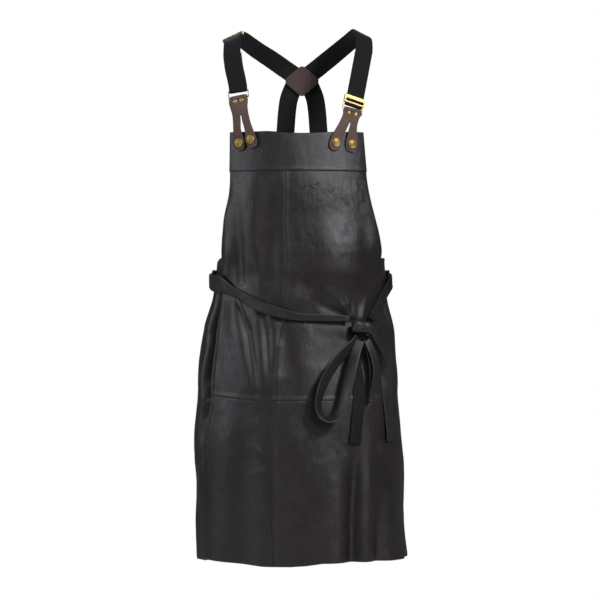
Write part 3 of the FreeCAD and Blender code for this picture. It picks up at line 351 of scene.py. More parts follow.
def leather_panel(name, z_top, z_bot, f0, f1, lift, mats, step=3.0, drop=0.8, bottom=None, top=None, thick=LEATHER,
                  outward=(0, 0, 0, 0)):
    """A panel between two heights and two edges. lift(phi, z) is added outward."""
    height = z_top - z_bot
    zs_share = spaced(height, step)
    mid_z = (z_top + z_bot) / 2
    width = float(np.radians(f1(np.array(mid_z)) - f0(np.array(mid_z))) * form(np.array(mid_z))[1])
    us = spaced(max(width, 20), step)
    S, U = np.meshgrid(zs_share, us, indexing="ij")
    Z0 = z_top - height * S
    F0, F1 = f0(Z0), f1(Z0)
    PHI = F0 + (F1 - F0) * U
    zt = top(PHI) if top else z_top + 0 * PHI
    zb = bottom(PHI) if bottom else z_bot + 0 * PHI
    Z = zt + (zb - zt) * S
    D = displacement(PHI, Z) + lift(PHI, Z)
    # rounded outer edge: the last couple of millimetres fall away
    dist = np.minimum(np.minimum(S, 1 - S) * height, np.minimum(U, 1 - U) * width)
    D = D - drop * (1 - np.clip(dist / 2.2, 0, 1)) ** 2
    P = base(PHI, Z, D)
    N = grid_normals(P)
    # outward is -Y at the front: orient the normals away from the form's axis
    C = base(PHI, Z, -30.0)
    flip = np.sign(np.sum(N * (P - C), axis=-1, keepdims=True))
    N = N * flip
    Q = P - N * thick
    n0, n1 = P.shape[:2]
    verts = list((P.reshape(-1, 3)) * MM) + list((Q.reshape(-1, 3)) * MM)
    K = n0 * n1
    idx = lambda i, j: i * n1 + j
    faces, mi = [], []
    I, J = np.meshgrid(np.arange(n0 - 1), np.arange(n1 - 1), indexing="ij")
    A_, B_ = (I * n1 + J).ravel(), (I * n1 + J + 1).ravel()
    C_, D_ = ((I + 1) * n1 + J + 1).ravel(), ((I + 1) * n1 + J).ravel()
    faces += np.stack([A_, D_, C_, B_], axis=1).tolist()
    mi += [0] * len(A_)
    faces += (np.stack([A_, B_, C_, D_], axis=1) + K).tolist()
    mi += [1] * len(A_)
    loop = [idx(0, j) for j in range(n1)] + [idx(i, n1 - 1) for i in range(1, n0)] + \
           [idx(n0 - 1, j) for j in range(n1 - 2, -1, -1)] + [idx(i, 0) for i in range(n0 - 2, 0, -1)]
    flatP, flatQ = P.reshape(-1, 3), Q.reshape(-1, 3)
    cen = flatP.mean(axis=0)
    start = len(verts)
    L = len(loop)
    for k, v in enumerate(loop):
        t = flatP[loop[(k + 1) % L]] - flatP[loop[k - 1]]
        nrm = N.reshape(-1, 3)[v]
        o = np.cross(t, nrm)
        o /= np.linalg.norm(o) + 1e-12
        inner_ref = flatP[v] - flatP[_inward(v, n0, n1)]
        if o @ inner_ref < 0:
            o = -o
        verts.append((flatP[v] * 0.5 + flatQ[v] * 0.5 + o * 0.45) * MM)
    for k in range(L):
        a, b = loop[k], loop[(k + 1) % L]
        ma, mb = start + k, start + (k + 1) % L
        faces.append((a, b, mb, ma)); mi.append(0)
        faces.append((ma, mb, K + b, K + a)); mi.append(0)
    ob = new_object(name, verts, faces, mats, mi)
    fix_normals(ob)
    area = 0.0
    d1 = np.linalg.norm(np.diff(P, axis=0), axis=-1).mean(axis=1).sum()
    d2 = np.linalg.norm(np.diff(P, axis=1), axis=-1).sum(axis=1).max()
    cell = np.linalg.norm(np.cross(P[1:, :-1] - P[:-1, :-1], P[:-1, 1:] - P[:-1, :-1]), axis=-1)
    area = float(cell.sum()) * 1e-6
    return ob, (float(d2) * MM, float(d1) * MM, area)


def _inward(v, n0, n1):
    i, j = divmod(v, n1)
    i = min(max(i, 1), n0 - 2)
    j = min(max(j, 1), n1 - 2)
    return i * n1 + j


def catmull(keys, steps):
    keys = [np.array(k, dtype=float) for k in keys]
    out = []
    n = len(keys)
    for k in range(n - 1):
        p0, p1, p2, p3 = keys[max(k - 1, 0)], keys[k], keys[k + 1], keys[min(k + 2, n - 1)]
        for i in range(steps):
            t = i / float(steps)
            out.append(0.5 * (2 * p1 + (p2 - p0) * t + (2 * p0 - 5 * p1 + 4 * p2 - p3) * t * t
                              + (3 * p1 - p0 - 3 * p2 + p3) * t**3))
    out.append(keys[-1])
    return out


def ribbon(name, path, across, width, thick, mats, edge=0.6, rows=10, wave=None, uv=True, caps=True):
    """A flat strap in mm: path points, across directions, a rounded rectangle section."""
    path = np.array([list(p) for p in path], dtype=float)
    acr = np.array([list(a) for a in across], dtype=float)
    n = len(path)
    T = np.gradient(path, axis=0)
    T /= np.linalg.norm(T, axis=1, keepdims=True) + 1e-12
    W = acr - T * np.sum(acr * T, axis=1, keepdims=True)
    W /= np.linalg.norm(W, axis=1, keepdims=True) + 1e-12
    N = np.cross(T, W)
    wd = np.broadcast_to(np.asarray(width, dtype=float), (n,)) if np.ndim(width) == 0 else np.interp(
        np.linspace(0, 1, n), np.linspace(0, 1, len(width)), width)
    th = np.broadcast_to(np.asarray(thick, dtype=float), (n,)) if np.ndim(thick) == 0 else np.interp(
        np.linspace(0, 1, n), np.linspace(0, 1, len(thick)), thick)
    prof = []
    for k in range(rows + 1):
        prof.append((-1 + 2 * k / rows, 1))
    for k in range(rows, -1, -1):
        prof.append((-1 + 2 * k / rows, -1))
    m = len(prof)
    s = np.concatenate([[0], np.cumsum(np.linalg.norm(np.diff(path, axis=0), axis=1))])
    verts, uvs = [], []
    for i in range(n):
        for (u, side) in prof:
            e = abs(u)
            x = u * wd[i] / 2
            near = max(0.0, (e * wd[i] / 2 - (wd[i] / 2 - edge)) / edge)
            h = th[i] / 2 * math.sqrt(max(0.0, 1 - (near * 0.93) ** 2))
            off = wave(s[i], x) if wave else 0.0
            v = path[i] + W[i] * x + N[i] * (side * h + off)
            verts.append(v * MM)
            uvs.append(((x + 50) * MM, s[i] * MM))
    faces = []
    for i in range(n - 1):
        for k in range(m):
            a, b = i * m + k, i * m + (k + 1) % m
            faces.append((a, b, b + m, a + m))
    if caps:
        faces.append(tuple(range(m))[::-1])
        faces.append(tuple((n - 1) * m + k for k in range(m)))
    ob = new_object(name, verts, faces, mats, None, True, uvs)
    fix_normals(ob)
    return ob, float(s[-1]) * MM


def join(name, obs):
    """Join objects into one mesh object."""
    me = bpy.data.meshes.new(name)
    bm = bmesh.new()
    mats = []
    for o in obs:
        off = len(bm.faces)
        remap = []
        for m in o.data.materials:
            if m not in mats:
                mats.append(m)
            remap.append(mats.index(m))
        tmp = o.data.copy()
        tmp.transform(o.matrix_world)
        for p in tmp.polygons:
            p.material_index = remap[p.material_index] if remap else 0
        bm.from_mesh(tmp)
        bpy.data.meshes.remove(tmp)
    bm.to_mesh(me)
    bm.free()
    for m in mats:
        me.materials.append(m)
    for o in obs:
        bpy.data.objects.remove(o)
    ob = bpy.data.objects.new(name, me)
    bpy.context.scene.collection.objects.link(ob)
    return ob


def stitch_mesh(name, points, normals, mats, pitch=4.2, length=3.0, radius=0.34, rise=0.12):
    """Short raised threads along a line in mm."""
    pts = np.array([list(p) for p in points], dtype=float)
    nor = np.array([list(p) for p in normals], dtype=float)
    s = np.concatenate([[0], np.cumsum(np.linalg.norm(np.diff(pts, axis=0), axis=1))])
    count = max(int(s[-1] / pitch), 1)
    ring = 6
    prof = np.array([(-0.5, 0.25, -0.10), (-0.36, 0.9, 0.6), (-0.12, 1.0, 1.0), (0.12, 1.0, 1.0), (0.36, 0.9, 0.6),
                     (0.5, 0.25, -0.10)])
    c = (np.arange(count) + 0.5) * pitch + (s[-1] - count * pitch) / 2
    q = c[:, None] + prof[None, :, 0] * length
    at_ = lambda table_, u: np.stack([np.interp(u, s, table_[:, a]) for a in range(3)], axis=-1)
    P = at_(pts, q)
    Nn = at_(nor, q)
    Nn /= np.linalg.norm(Nn, axis=-1, keepdims=True) + 1e-12
    T = at_(pts, q + 0.4) - at_(pts, q - 0.4)
    T /= np.linalg.norm(T, axis=-1, keepdims=True) + 1e-12
    B = np.cross(Nn, T)
    B /= np.linalg.norm(B, axis=-1, keepdims=True) + 1e-12
    g = 2 * np.pi * np.arange(ring) / ring
    circ = B[:, :, None, :] * np.cos(g)[None, None, :, None] + Nn[:, :, None, :] * np.sin(g)[None, None, :, None]
    V = (P + Nn * (rise * prof[None, :, 2] - 0.05)[..., None])[:, :, None, :] + circ * (radius * prof[None, :, 1])[..., None, None]
    V = V.reshape(-1, 3) * MM
    rows_ = len(prof)
    faces = []
    for i in range(rows_ - 1):
        for a in range(ring):
            v0, v1 = i * ring + a, i * ring + (a + 1) % ring
            faces.append((v0, v1, v1 + ring, v0 + ring))
    faces = np.array(faces)
    allf = (faces[None] + (np.arange(count) * rows_ * ring)[:, None, None]).reshape(-1, 4).tolist()
    caps = np.array([tuple(range(ring))[::-1], tuple((rows_ - 1) * ring + a for a in range(ring))])
    allf += (caps[None] + (np.arange(count) * rows_ * ring)[:, None, None]).reshape(-1, ring).tolist()
    return new_object(name, V, allf, mats)


def lathe(name, outline, mats, seg=56, mat_of=None):
    """Turned piece about Z in mm: outline of (radius, height) from the axis out and back."""
    verts, faces, mi = [], [], []
    n = len(outline)
    for (r, h) in outline:
        for k in range(seg):
            a = 2 * math.pi * k / seg
            verts.append((r * math.cos(a) * MM, r * math.sin(a) * MM, h * MM))
    for i in range(n - 1):
        for k in range(seg):
            a, b = i * seg + k, i * seg + (k + 1) % seg
            faces.append((a, b, b + seg, a + seg))
            mi.append(mat_of(i) if mat_of else 0)
    ob = new_object(name, verts, faces, mats, mi)
    bm = bmesh.new()
    bm.from_mesh(ob.data)
    bmesh.ops.remove_doubles(bm, verts=bm.verts, dist=1e-6)
    bmesh.ops.holes_fill(bm, edges=bm.edges, sides=0)
    bmesh.ops.recalc_face_normals(bm, faces=bm.faces)
    bm.to_mesh(ob.data)
    bm.free()
    ob.data.polygons.foreach_set("use_smooth", [True] * len(ob.data.polygons))
    return ob


def basis(origin, x_dir, z_dir):
    z = Vector(z_dir).normalized()
    x = Vector(x_dir)
    x = (x - z * x.dot(z)).normalized()
    y = z.cross(x)
    m = Matrix(((x.x, y.x, z.x, origin[0] * MM), (x.y, y.y, z.y, origin[1] * MM), (x.z, y.z, z.z, origin[2] * MM),
                (0, 0, 0, 1)))
    return m


def bake_transform(ob, m):
    ob.data.transform(m)
    ob.data.update()


# ------------------------------------------------------------------ materials
class Nodes:
    def __init__(self, name):
        self.m = bpy.data.materials.new(name)
        self.m.use_nodes = True
        self.t = self.m.node_tree
        self.t.nodes.clear()
        self.out = self.t.nodes.new("ShaderNodeOutputMaterial")
        self.b = self.t.nodes.new("ShaderNodeBsdfPrincipled")
        self.t.links.new(self.b.outputs[0], self.out.inputs[0])
        self.tc = self.t.nodes.new("ShaderNodeTexCoord")

    def node(self, kind, **kw):
        n = self.t.nodes.new(kind)
        for k, v in kw.items():
            if k in n.inputs:
                n.inputs[k].default_value = v
            else:
                setattr(n, k, v)
        return n

    def link(self, a, b):
        self.t.links.new(a, b)

    def mapping(self, src, scale, rot=(0, 0, 0)):
        n = self.t.nodes.new("ShaderNodeMapping")
        n.inputs["Scale"].default_value = scale
        n.inputs["Rotation"].default_value = rot
        self.link(src, n.inputs["Vector"])
        return n.outputs[0]

    def noise(self, vec, scale, detail=4, rough=0.55, distortion=0.0):
        n = self.t.nodes.new("ShaderNodeTexNoise")
        n.inputs["Scale"].default_value = scale
        n.inputs["Detail"].default_value = detail
        n.inputs["Roughness"].default_value = rough
        n.inputs["Distortion"].default_value = distortion
        self.link(vec, n.inputs["Vector"])
        return n.outputs["Fac"]

    def voronoi(self, vec, scale, feature="F1", rnd=1.0):
        n = self.t.nodes.new("ShaderNodeTexVoronoi")
        n.feature = feature
        n.inputs["Scale"].default_value = scale
        n.inputs["Randomness"].default_value = rnd
        self.link(vec, n.inputs["Vector"])
        return n.outputs["Distance"]

    def ramp(self, src, stops):
        n = self.t.nodes.new("ShaderNodeValToRGB")
        e = n.color_ramp.elements
        e[0].position, e[0].color = stops[0][0], stops[0][1]
        e[1].position, e[1].color = stops[-1][0], stops[-1][1]
        for p, c in stops[1:-1]:
            x = e.new(p)
            x.color = c
        self.link(src, n.inputs[0])
        return n.outputs[0]

    def mathn(self, op, a, b, clamp=False):
        n = self.t.nodes.new("ShaderNodeMath")
        n.operation = op
        n.use_clamp = clamp
        for i, v in enumerate((a, b)):
            if isinstance(v, (int, float)):
                n.inputs[i].default_value = v
            else:
                self.link(v, n.inputs[i])
        return n.outputs[0]

    def maprange(self, src, lo, hi, a, b):
        n = self.t.nodes.new("ShaderNodeMapRange")
        n.inputs["From Min"].default_value = lo
        n.inputs["From Max"].default_value = hi
        n.inputs["To Min"].default_value = a
        n.inputs["To Max"].default_value = b
        self.link(src, n.inputs["Value"])
        return n.outputs[0]

    def bump(self, height, strength, distance, normal=None):
        n = self.t.nodes.new("ShaderNodeBump")
        n.inputs["Strength"].default_value = strength
        n.inputs["Distance"].default_value = distance
        self.link(height, n.inputs["Height"])
        if normal is not None:
            self.link(normal, n.inputs["Normal"])
        return n.outputs[0]


def lin(r, g, b):
    f = lambda c: (c / 255 / 12.92) if c / 255 <= 0.04045 else ((c / 255 + 0.055) / 1.055) ** 2.4
    return (f(r), f(g), f(b), 1.0)


def make_leather(name, dark, mid, light, rough=(0.36, 0.52), grain=0.00022, scale=1.0, spec=0.5, crease=0.0005):
    k = Nodes(name)
    obj = k.tc.outputs["Object"]
    big = k.noise(obj, 9.0 * scale, 5, 0.6)
    fine = k.noise(obj, 260.0 * scale, 4, 0.6)
    mix = k.mathn("ADD", k.mathn("MULTIPLY", big, 0.7), k.mathn("MULTIPLY", fine, 0.3))
    col = k.ramp(mix, [(0.30, dark), (0.52, mid), (0.74, light)])
    k.link(col, k.b.inputs["Base Color"])
    r = k.noise(obj, 34.0 * scale, 6, 0.65)
    k.link(k.maprange(r, 0.3, 0.7, rough[0], rough[1]), k.b.inputs["Roughness"])
    k.b.inputs["Specular IOR Level"].default_value = spec
    # pebble grain, pores and long soft creases
    warp = k.noise(obj, 120.0 * scale, 3, 0.5)
    cells = k.voronoi(obj, 900.0 * scale, "DISTANCE_TO_EDGE")
    cell_h = k.maprange(cells, 0.0, 0.22, 0.0, 1.0)
    small = k.voronoi(obj, 1900.0 * scale, "F1")
    pebble = k.mathn("ADD", k.mathn("MULTIPLY", cell_h, 0.7), k.mathn("MULTIPLY", small, -0.35))
    b1 = k.bump(pebble, 0.55, grain)
    stretch = k.mapping(obj, (1.0, 1.0, 0.34))
    cr = k.noise(stretch, 95.0 * scale, 7, 0.62, 0.6)
    b2 = k.bump(cr, 0.5, crease, b1)
    soft = k.noise(obj, 30.0 * scale, 5, 0.55, 0.3)
    b3 = k.bump(soft, 0.5, crease * 2.2, b2)
    k.link(b3, k.b.inputs["Normal"])
    return k.m


def make_suede(name, c1, c2):
    k = Nodes(name)
    obj = k.tc.outputs["Object"]
    n1 = k.noise(obj, 420.0, 6, 0.7)
    n2 = k.noise(obj, 22.0, 4, 0.6)
    mix = k.mathn("ADD", k.mathn("MULTIPLY", n1, 0.5), k.mathn("MULTIPLY", n2, 0.5))
    k.link(k.ramp(mix, [(0.35, c1), (0.65, c2)]), k.b.inputs["Base Color"])
    k.b.inputs["Roughness"].default_value = 0.92
    k.b.inputs["Specular IOR Level"].default_value = 0.2
    k.b.inputs["Sheen Weight"].default_value = 0.25
    k.b.inputs["Sheen Roughness"].default_value = 0.5
    k.link(k.bump(n1, 0.6, 0.0004), k.b.inputs["Normal"])
    return k.m


def make_webbing(name):
    k = Nodes(name)
    uv = k.tc.outputs["UV"]
    # ribs across the strap every 1.1 mm, broken by warp threads every 0.9 mm
    ribs = k.node("ShaderNodeTexWave")
    ribs.wave_type = "BANDS"
    ribs.bands_direction = "Y"
    ribs.inputs["Scale"].default_value = 1.0
    ribs.inputs["Distortion"].default_value = 0.35
    ribs.inputs["Detail"].default_value = 1.0
    ribs.inputs["Detail Scale"].default_value = 3.0
    k.link(k.mapping(uv, (0.0, 142.0, 1.0)), ribs.inputs["Vector"])
    warp = k.node("ShaderNodeTexWave")
    warp.wave_type = "BANDS"
    warp.bands_direction = "X"
    warp.inputs["Scale"].default_value = 1.0
    warp.inputs["Distortion"].default_value = 0.2
    k.link(k.mapping(uv, (176.0, 0.0, 1.0)), warp.inputs["Vector"])
    h = k.mathn("ADD", k.mathn("MULTIPLY", ribs.outputs["Fac"], 0.65), k.mathn("MULTIPLY", warp.outputs["Fac"], 0.35))
    fuzz = k.noise(uv, 2600.0, 3, 0.6)
    wear = k.noise(uv, 40.0, 4, 0.6)
    c = k.mathn("ADD", k.mathn("MULTIPLY", h, 0.6), k.mathn("MULTIPLY", fuzz, 0.4))
    c = k.mathn("ADD", k.mathn("MULTIPLY", c, 0.75), k.mathn("MULTIPLY", wear, 0.25))
    k.link(k.ramp(c, [(0.18, lin(5, 5, 6)), (0.5, lin(14, 14, 16)), (0.85, lin(28, 28, 31))]), k.b.inputs["Base Color"])
    k.b.inputs["Roughness"].default_value = 0.8
    k.b.inputs["Specular IOR Level"].default_value = 0.3
    k.b.inputs["Sheen Weight"].default_value = 0.15
    k.b.inputs["Sheen Roughness"].default_value = 0.4
    b1 = k.bump(h, 0.8, 0.00035)
    k.link(k.bump(fuzz, 0.4, 0.00012, b1), k.b.inputs["Normal"])
    return k.m


def make_metal(name, base_c, dark_c, bright_c, rough=(0.24, 0.46), tarnish=0.5):
    k = Nodes(name)
    obj = k.tc.outputs["Object"]
    n = k.noise(obj, 420.0, 6, 0.65)
    m = k.noise(obj, 90.0, 4, 0.6)
    geo = k.node("ShaderNodeNewGeometry")
    edge = k.maprange(geo.outputs["Pointiness"], 0.48, 0.60, 0.0, 1.0)
    mixv = k.mathn("ADD", k.mathn("MULTIPLY", n, 0.45), k.mathn("MULTIPLY", m, 0.55))
    mixv = k.mathn("ADD", mixv, k.mathn("MULTIPLY", edge, 0.25))
    k.link(k.ramp(mixv, [(0.34, dark_c), (0.55, base_c), (0.82, bright_c)]), k.b.inputs["Base Color"])
    k.b.inputs["Metallic"].default_value = 1.0
    k.link(k.maprange(m, 0.3, 0.7, rough[0], rough[1]), k.b.inputs["Roughness"])
    scratch = k.noise(k.mapping(obj, (1.0, 1.0, 6.0)), 1500.0, 3, 0.6)
    k.link(k.bump(scratch, 0.25, 0.00006), k.b.inputs["Normal"])
    return k.m


def make_thread(name, c1, c2, rough=0.6):
    k = Nodes(name)
    obj = k.tc.outputs["Object"]
    n = k.noise(obj, 1600.0, 3, 0.6)
    k.link(k.ramp(n, [(0.3, c1), (0.7, c2)]), k.b.inputs["Base Color"])
    k.b.inputs["Roughness"].default_value = rough
    k.link(k.bump(n, 0.5, 0.00008), k.b.inputs["Normal"])
    return k.m


LEATHER_M = make_leather("apron_leather", lin(26, 21, 23), lin(33, 27, 29), lin(41, 34, 37), rough=(0.30, 0.43), spec=0.6, crease=0.0010)
LEATHER_TIE = make_leather("tie_leather", lin(28, 25, 27), lin(36, 32, 34), lin(44, 40, 42), rough=(0.34, 0.5), spec=0.55)
# painted shade: a darker, rougher copy of the tie leather, standing in for the shade on the right waist tie span and
# the left tail
LEATHER_PAINTED_SHADE = make_leather("tie_leather_painted_shade", lin(16, 13, 14), lin(22, 18, 20), lin(28, 24, 26), rough=(0.6, 0.8), spec=0.25)
LINING = make_suede("leather_flesh_side", lin(38, 30, 28), lin(58, 48, 44))
TAB_M = make_leather("tab_leather", lin(70, 52, 47), lin(98, 79, 71), lin(128, 107, 98), rough=(0.5, 0.7), grain=0.00025,
                     scale=1.0, spec=0.35, crease=0.0004)
PATCH_M = make_leather("patch_leather", lin(66, 49, 47), lin(88, 70, 67), lin(112, 93, 88), rough=(0.52, 0.72),
                       grain=0.00025, spec=0.35, crease=0.0004)
TAB_EDGE = make_suede("tab_cut_edge", lin(58, 40, 32), lin(96, 72, 58))
WEB_M = make_webbing("elastic_webbing")
BRASS = make_metal("antique_brass", lin(178, 148, 84), lin(118, 90, 46), lin(222, 200, 138), rough=(0.36, 0.56), tarnish=0.42)
NICKEL = make_metal("nickel_wire", lin(176, 176, 174), lin(120, 120, 118), lin(228, 228, 226), rough=(0.18, 0.34))
THREAD = make_thread("dark_thread", lin(30, 27, 29), lin(56, 51, 54))
THREAD_BROWN = make_thread("brown_thread", lin(58, 44, 38), lin(100, 82, 70))

# ------------------------------------------------------------------ camera first
cam_data = bpy.data.cameras.new("Camera")
cam = bpy.data.objects.new("Camera", cam_data)
bpy.context.scene.collection.objects.link(cam)
cam_data.sensor_width = 36.0
CAM_DIST = 5.0
cam_data.lens = 36.0 * CAM_DIST / 1.17
cam_data.clip_end = 50
cam.location = (0.0, -CAM_DIST, -0.511)
cam.rotation_euler = (math.radians(90), 0, 0)
bpy.context.scene.camera = cam

# ------------------------------------------------------------------ apron leather
left_edge = lambda z: -table(EDGE, z)
right_edge = lambda z: table(EDGE, z)
seam_l = lambda z: table(SEAM_L, z)
seam_r = lambda z: table(SEAM_R, z)
centre = lambda z: table(CENTRE, z)


def front_left(z):
    return np.where(z > CORNER_Z, left_edge(z), seam_l(z))


def front_right(z):
    return np.where(z > CORNER_Z, right_edge(z), seam_r(z))


def skirt_line(phi):
    """The cross seam rises a little to the left, and dips at the centre seam."""
    return SKIRT_Z + 7.5 * smoothstep(-20, -58, phi) - 1.0 * np.exp(-((phi + 10) / 12.0) ** 2)


def near(v, edge, reach):
    return 1 - smoothstep(reach * 0.35, reach, np.abs(v - edge))


def band_lift(phi, z):
    return 1.3 + 0.5 * near(z, BAND_Z, 9)


def band_top(phi):
    x = base(phi, TOP_Z + 0 * phi, 0.0)[..., 0]
    # slightly hollow top edge between the tabs
    return TOP_Z + 2.2 - 3.4 * np.exp(-((x - 4) / 52.0) ** 2) + 1.2 * np.exp(-((x + 60) / 20.0) ** 2)


def lift_bib_left(phi, z):
    out = 0.9 * near(z, skirt_line(phi), 10)
    out = out + 3.2 * near(phi, seam_l(z), 3.2) * smoothstep(-452, -500, z)
    return out - 0.2 * near(phi, centre(z), 2.5)


def lift_bib_right(phi, z):
    return 0.9 * near(z, skirt_line(phi), 10) + 0.95 * near(phi, centre(z), 3.4)


def lift_skirt_left(phi, z):
    return 2.6 * near(phi, seam_l(z), 3.0) * smoothstep(-860, -740, z) - 0.2 * near(phi, centre(z), 2.5)


def lift_skirt_right(phi, z):
    return 0.95 * near(phi, centre(z), 3.4)


def hem_line(phi):
    """The hem rises towards both front corners."""
    x = base(phi, HEM_Z + 0 * phi, 0.0)[..., 0]
    rise = np.interp(x, [-210, -187, -172, -141, -95, -70, -19, 11, 42, 103, 150, 180, 196, 210],
                     [4, 5, 8, 6, 2.6, 0.6, 0, 2.2, 7.0, 8.5, 8.0, 7, 7, 7])
    return HEM_Z + 2.0 + rise


zero = lambda phi, z: 0.0 * phi
flat_of = {}
panels = {}
specs = [
    ("top_band", TOP_Z, BAND_Z, left_edge, right_edge, band_lift, dict(top=band_top)),
    ("bib_panel_left", BAND_Z + 7, SKIRT_Z, front_left, centre, lift_bib_left, dict(bottom=skirt_line)),
    ("bib_panel_right", BAND_Z + 7, SKIRT_Z, centre, front_right, lift_bib_right, dict(bottom=skirt_line)),
    ("skirt_panel_left", SKIRT_Z, HEM_Z, seam_l, centre, lift_skirt_left, dict(top=lambda phi: skirt_line(phi) + 0.7, bottom=hem_line)),
    ("skirt_panel_right", SKIRT_Z, HEM_Z, centre, seam_r, lift_skirt_right, dict(top=lambda phi: skirt_line(phi) + 0.7, bottom=hem_line)),
    ("side_panel_left", CORNER_Z, HEM_Z, lambda z: -table(BACK_EDGE, z), seam_l, zero, dict(bottom=hem_line)),
    ("side_panel_right", CORNER_Z, HEM_Z, seam_r, lambda z: table(BACK_EDGE, z), zero, dict(bottom=hem_line)),
]
for name, z0, z1, f0, f1, lift, extra in specs:
    ob, flat = leather_panel("leather_" + name, z0, z1, f0, f1, lift, [LEATHER_M, LINING], **extra)
    panels[name] = ob
    flat_of[name] = flat
    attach(ob, "apron")
    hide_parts(name)
    w, l, area = flat


# Surface point and normal of the finished leather, for everything sewn to it.
def surface(phi, z, lift=zero, out=0.0):
    phi, z = np.asarray(phi, dtype=float), np.asarray(z, dtype=float)
    e = 0.35
    f = lambda a, b: base(a, b, displacement(a, b) + lift(a, b) + out)
    p = f(phi, z)
    du = f(phi + e, z) - f(phi - e, z)
    dv = f(phi, z + 0.8) - f(phi, z - 0.8)
    n = np.cross(dv, du)
    n /= np.linalg.norm(n, axis=-1, keepdims=True)
    c = base(phi, z, -30.0)
    n *= np.sign(np.sum(n * (p - c), axis=-1, keepdims=True))
    return p, n


def seam_line(phis, zs, lift, name):
    p, n = surface(phis, zs, lift)
    return stitch_mesh(name, p, n, [THREAD])


S = []
N_ = 240
# top band: two rows along its lower seam, one under the top edge, one in from each side
ph = np.linspace(-58.6, 58.6, N_)
S.append(seam_line(ph, BAND_Z + 2.6 + 0 * ph, band_lift, "st"))
S.append(seam_line(ph, BAND_Z + 8.4 + 0 * ph, band_lift, "st"))
S.append(seam_line(ph, band_top(ph) - 6.0, band_lift, "st"))
zz = np.linspace(TOP_Z - 6, BAND_Z + 10, 60)
S.append(seam_line(left_edge(zz) + 2.2, zz, band_lift, "st"))
S.append(seam_line(right_edge(zz) - 2.2, zz, band_lift, "st"))
# centre seam
zz = np.linspace(BAND_Z - 3, SKIRT_Z + 6, N_)
S.append(seam_line(centre(zz) + 1.1, zz, lift_bib_right, "st"))
zz = np.linspace(SKIRT_Z - 6, HEM_Z + 4, N_)
S.append(seam_line(centre(zz) + 1.1, zz, lift_skirt_right, "st"))
# bib edges
zz = np.linspace(BAND_Z - 4, CORNER_Z - 2, 120)
S.append(seam_line(left_edge(zz) + 2.2, zz, lift_bib_left, "st"))
S.append(seam_line(right_edge(zz) - 2.2, zz, lift_bib_right, "st"))
# cross seam, one row each side
ph = np.linspace(-54, -13.5, 120)
S.append(seam_line(ph, skirt_line(ph) + 3.0, lift_bib_left, "st"))
ph = np.linspace(-11.5, 70, 200)
S.append(seam_line(ph, skirt_line(ph) + 3.0, lift_bib_right, "st"))
# hem
for f0, f1, lift in ((-111, -67.5, zero), (-64.5, -16.5, lift_skirt_left), (-14.5, 72, lift_skirt_right), (74, 112, zero)):
    ph = np.linspace(f0, f1, 160)
    S.append(seam_line(ph, hem_line(ph) + 8.0, lift, "st"))
# pleat edge and back edges
zz = np.linspace(-470, SKIRT_Z + 8, 120)
S.append(seam_line(seam_l(zz) + 1.5, zz, lift_bib_left, "st"))
zz = np.linspace(SKIRT_Z - 5, HEM_Z + 4, 120)
S.append(seam_line(seam_l(zz) + 1.5, zz, lift_skirt_left, "st"))
zz = np.linspace(-458, HEM_Z + 8, 200)
S.append(seam_line(-table(BACK_EDGE, zz) + 2.0, zz, zero, "st"))
S.append(seam_line(table(BACK_EDGE, zz) - 2.0, zz, zero, "st"))
st = join("apron_stitching", S)
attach(st, "apron")

# ------------------------------------------------------------------ raised leaf sprig on the right bib
def leaf_sprig():
    def on(xz):
        xz = np.asarray(xz, dtype=float)
        xc, a, yc, b = form(xz[:, 1])
        phi = np.degrees(np.arcsin(np.clip((xz[:, 0] - xc) / a, -0.999, 0.999)))
        return surface(phi, xz[:, 1], lift_bib_right)

    stem = catmull([(2, -300), (22, -290), (46, -298), (70, -313), (92, -322)], 10)
    xz, hs, faces = [], [], []
    nu, nv = 12, 8
    for k, (u0, side) in enumerate([(4, 1), (8, -1), (13, 1), (18, -1), (23, 1), (28, -1), (33, 1), (37, -1)]):
        a, b = stem[u0], stem[min(u0 + 1, len(stem) - 1)]
        ang = math.atan2(b[1] - a[1], b[0] - a[0]) + side * 0.75
        length, width = 17 - 0.12 * u0, 6.8 - 0.04 * u0
        c, s_ = math.cos(ang), math.sin(ang)
        off = len(xz)
        for i in range(nu + 1):
            u = i / nu
            w = width * max(math.sin(math.pi * u), 0.0) ** 0.8 * (1 - 0.25 * u)
            for j in range(nv + 1):
                v = -1 + 2 * j / nv
                xz.append((a[0] + c * u * length - s_ * v * w / 2, a[1] + s_ * u * length + c * v * w / 2))
                hs.append(1.0 * (1 - v * v) * max(math.sin(math.pi * u), 0.0) ** 0.5 - 0.15
                          - 0.4 * math.exp(-(v / 0.16) ** 2) * (1 - v * v))
        for i in range(nu):
            for j in range(nv):
                q = off + i * (nv + 1) + j
                faces.append((q, q + 1, q + nv + 2, q + nv + 1))
    p, n = on(xz)
    leaves = new_object("leaves", (p + n * np.array(hs)[:, None]) * MM, faces, [LEATHER_M])
    pts, nor = on([(q[0], q[1]) for q in stem])
    pts = pts + nor * 0.2
    t = np.gradient(pts, axis=0)
    r, _ = ribbon("stem", pts, np.cross(nor, t), [2.0, 1.6, 1.0], 0.9, [LEATHER_M], edge=0.5, rows=4)
    return join("raised_leaf_sprig", [leaves, r])


sprig = leaf_sprig()
fix_normals(sprig)
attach(sprig, "apron")

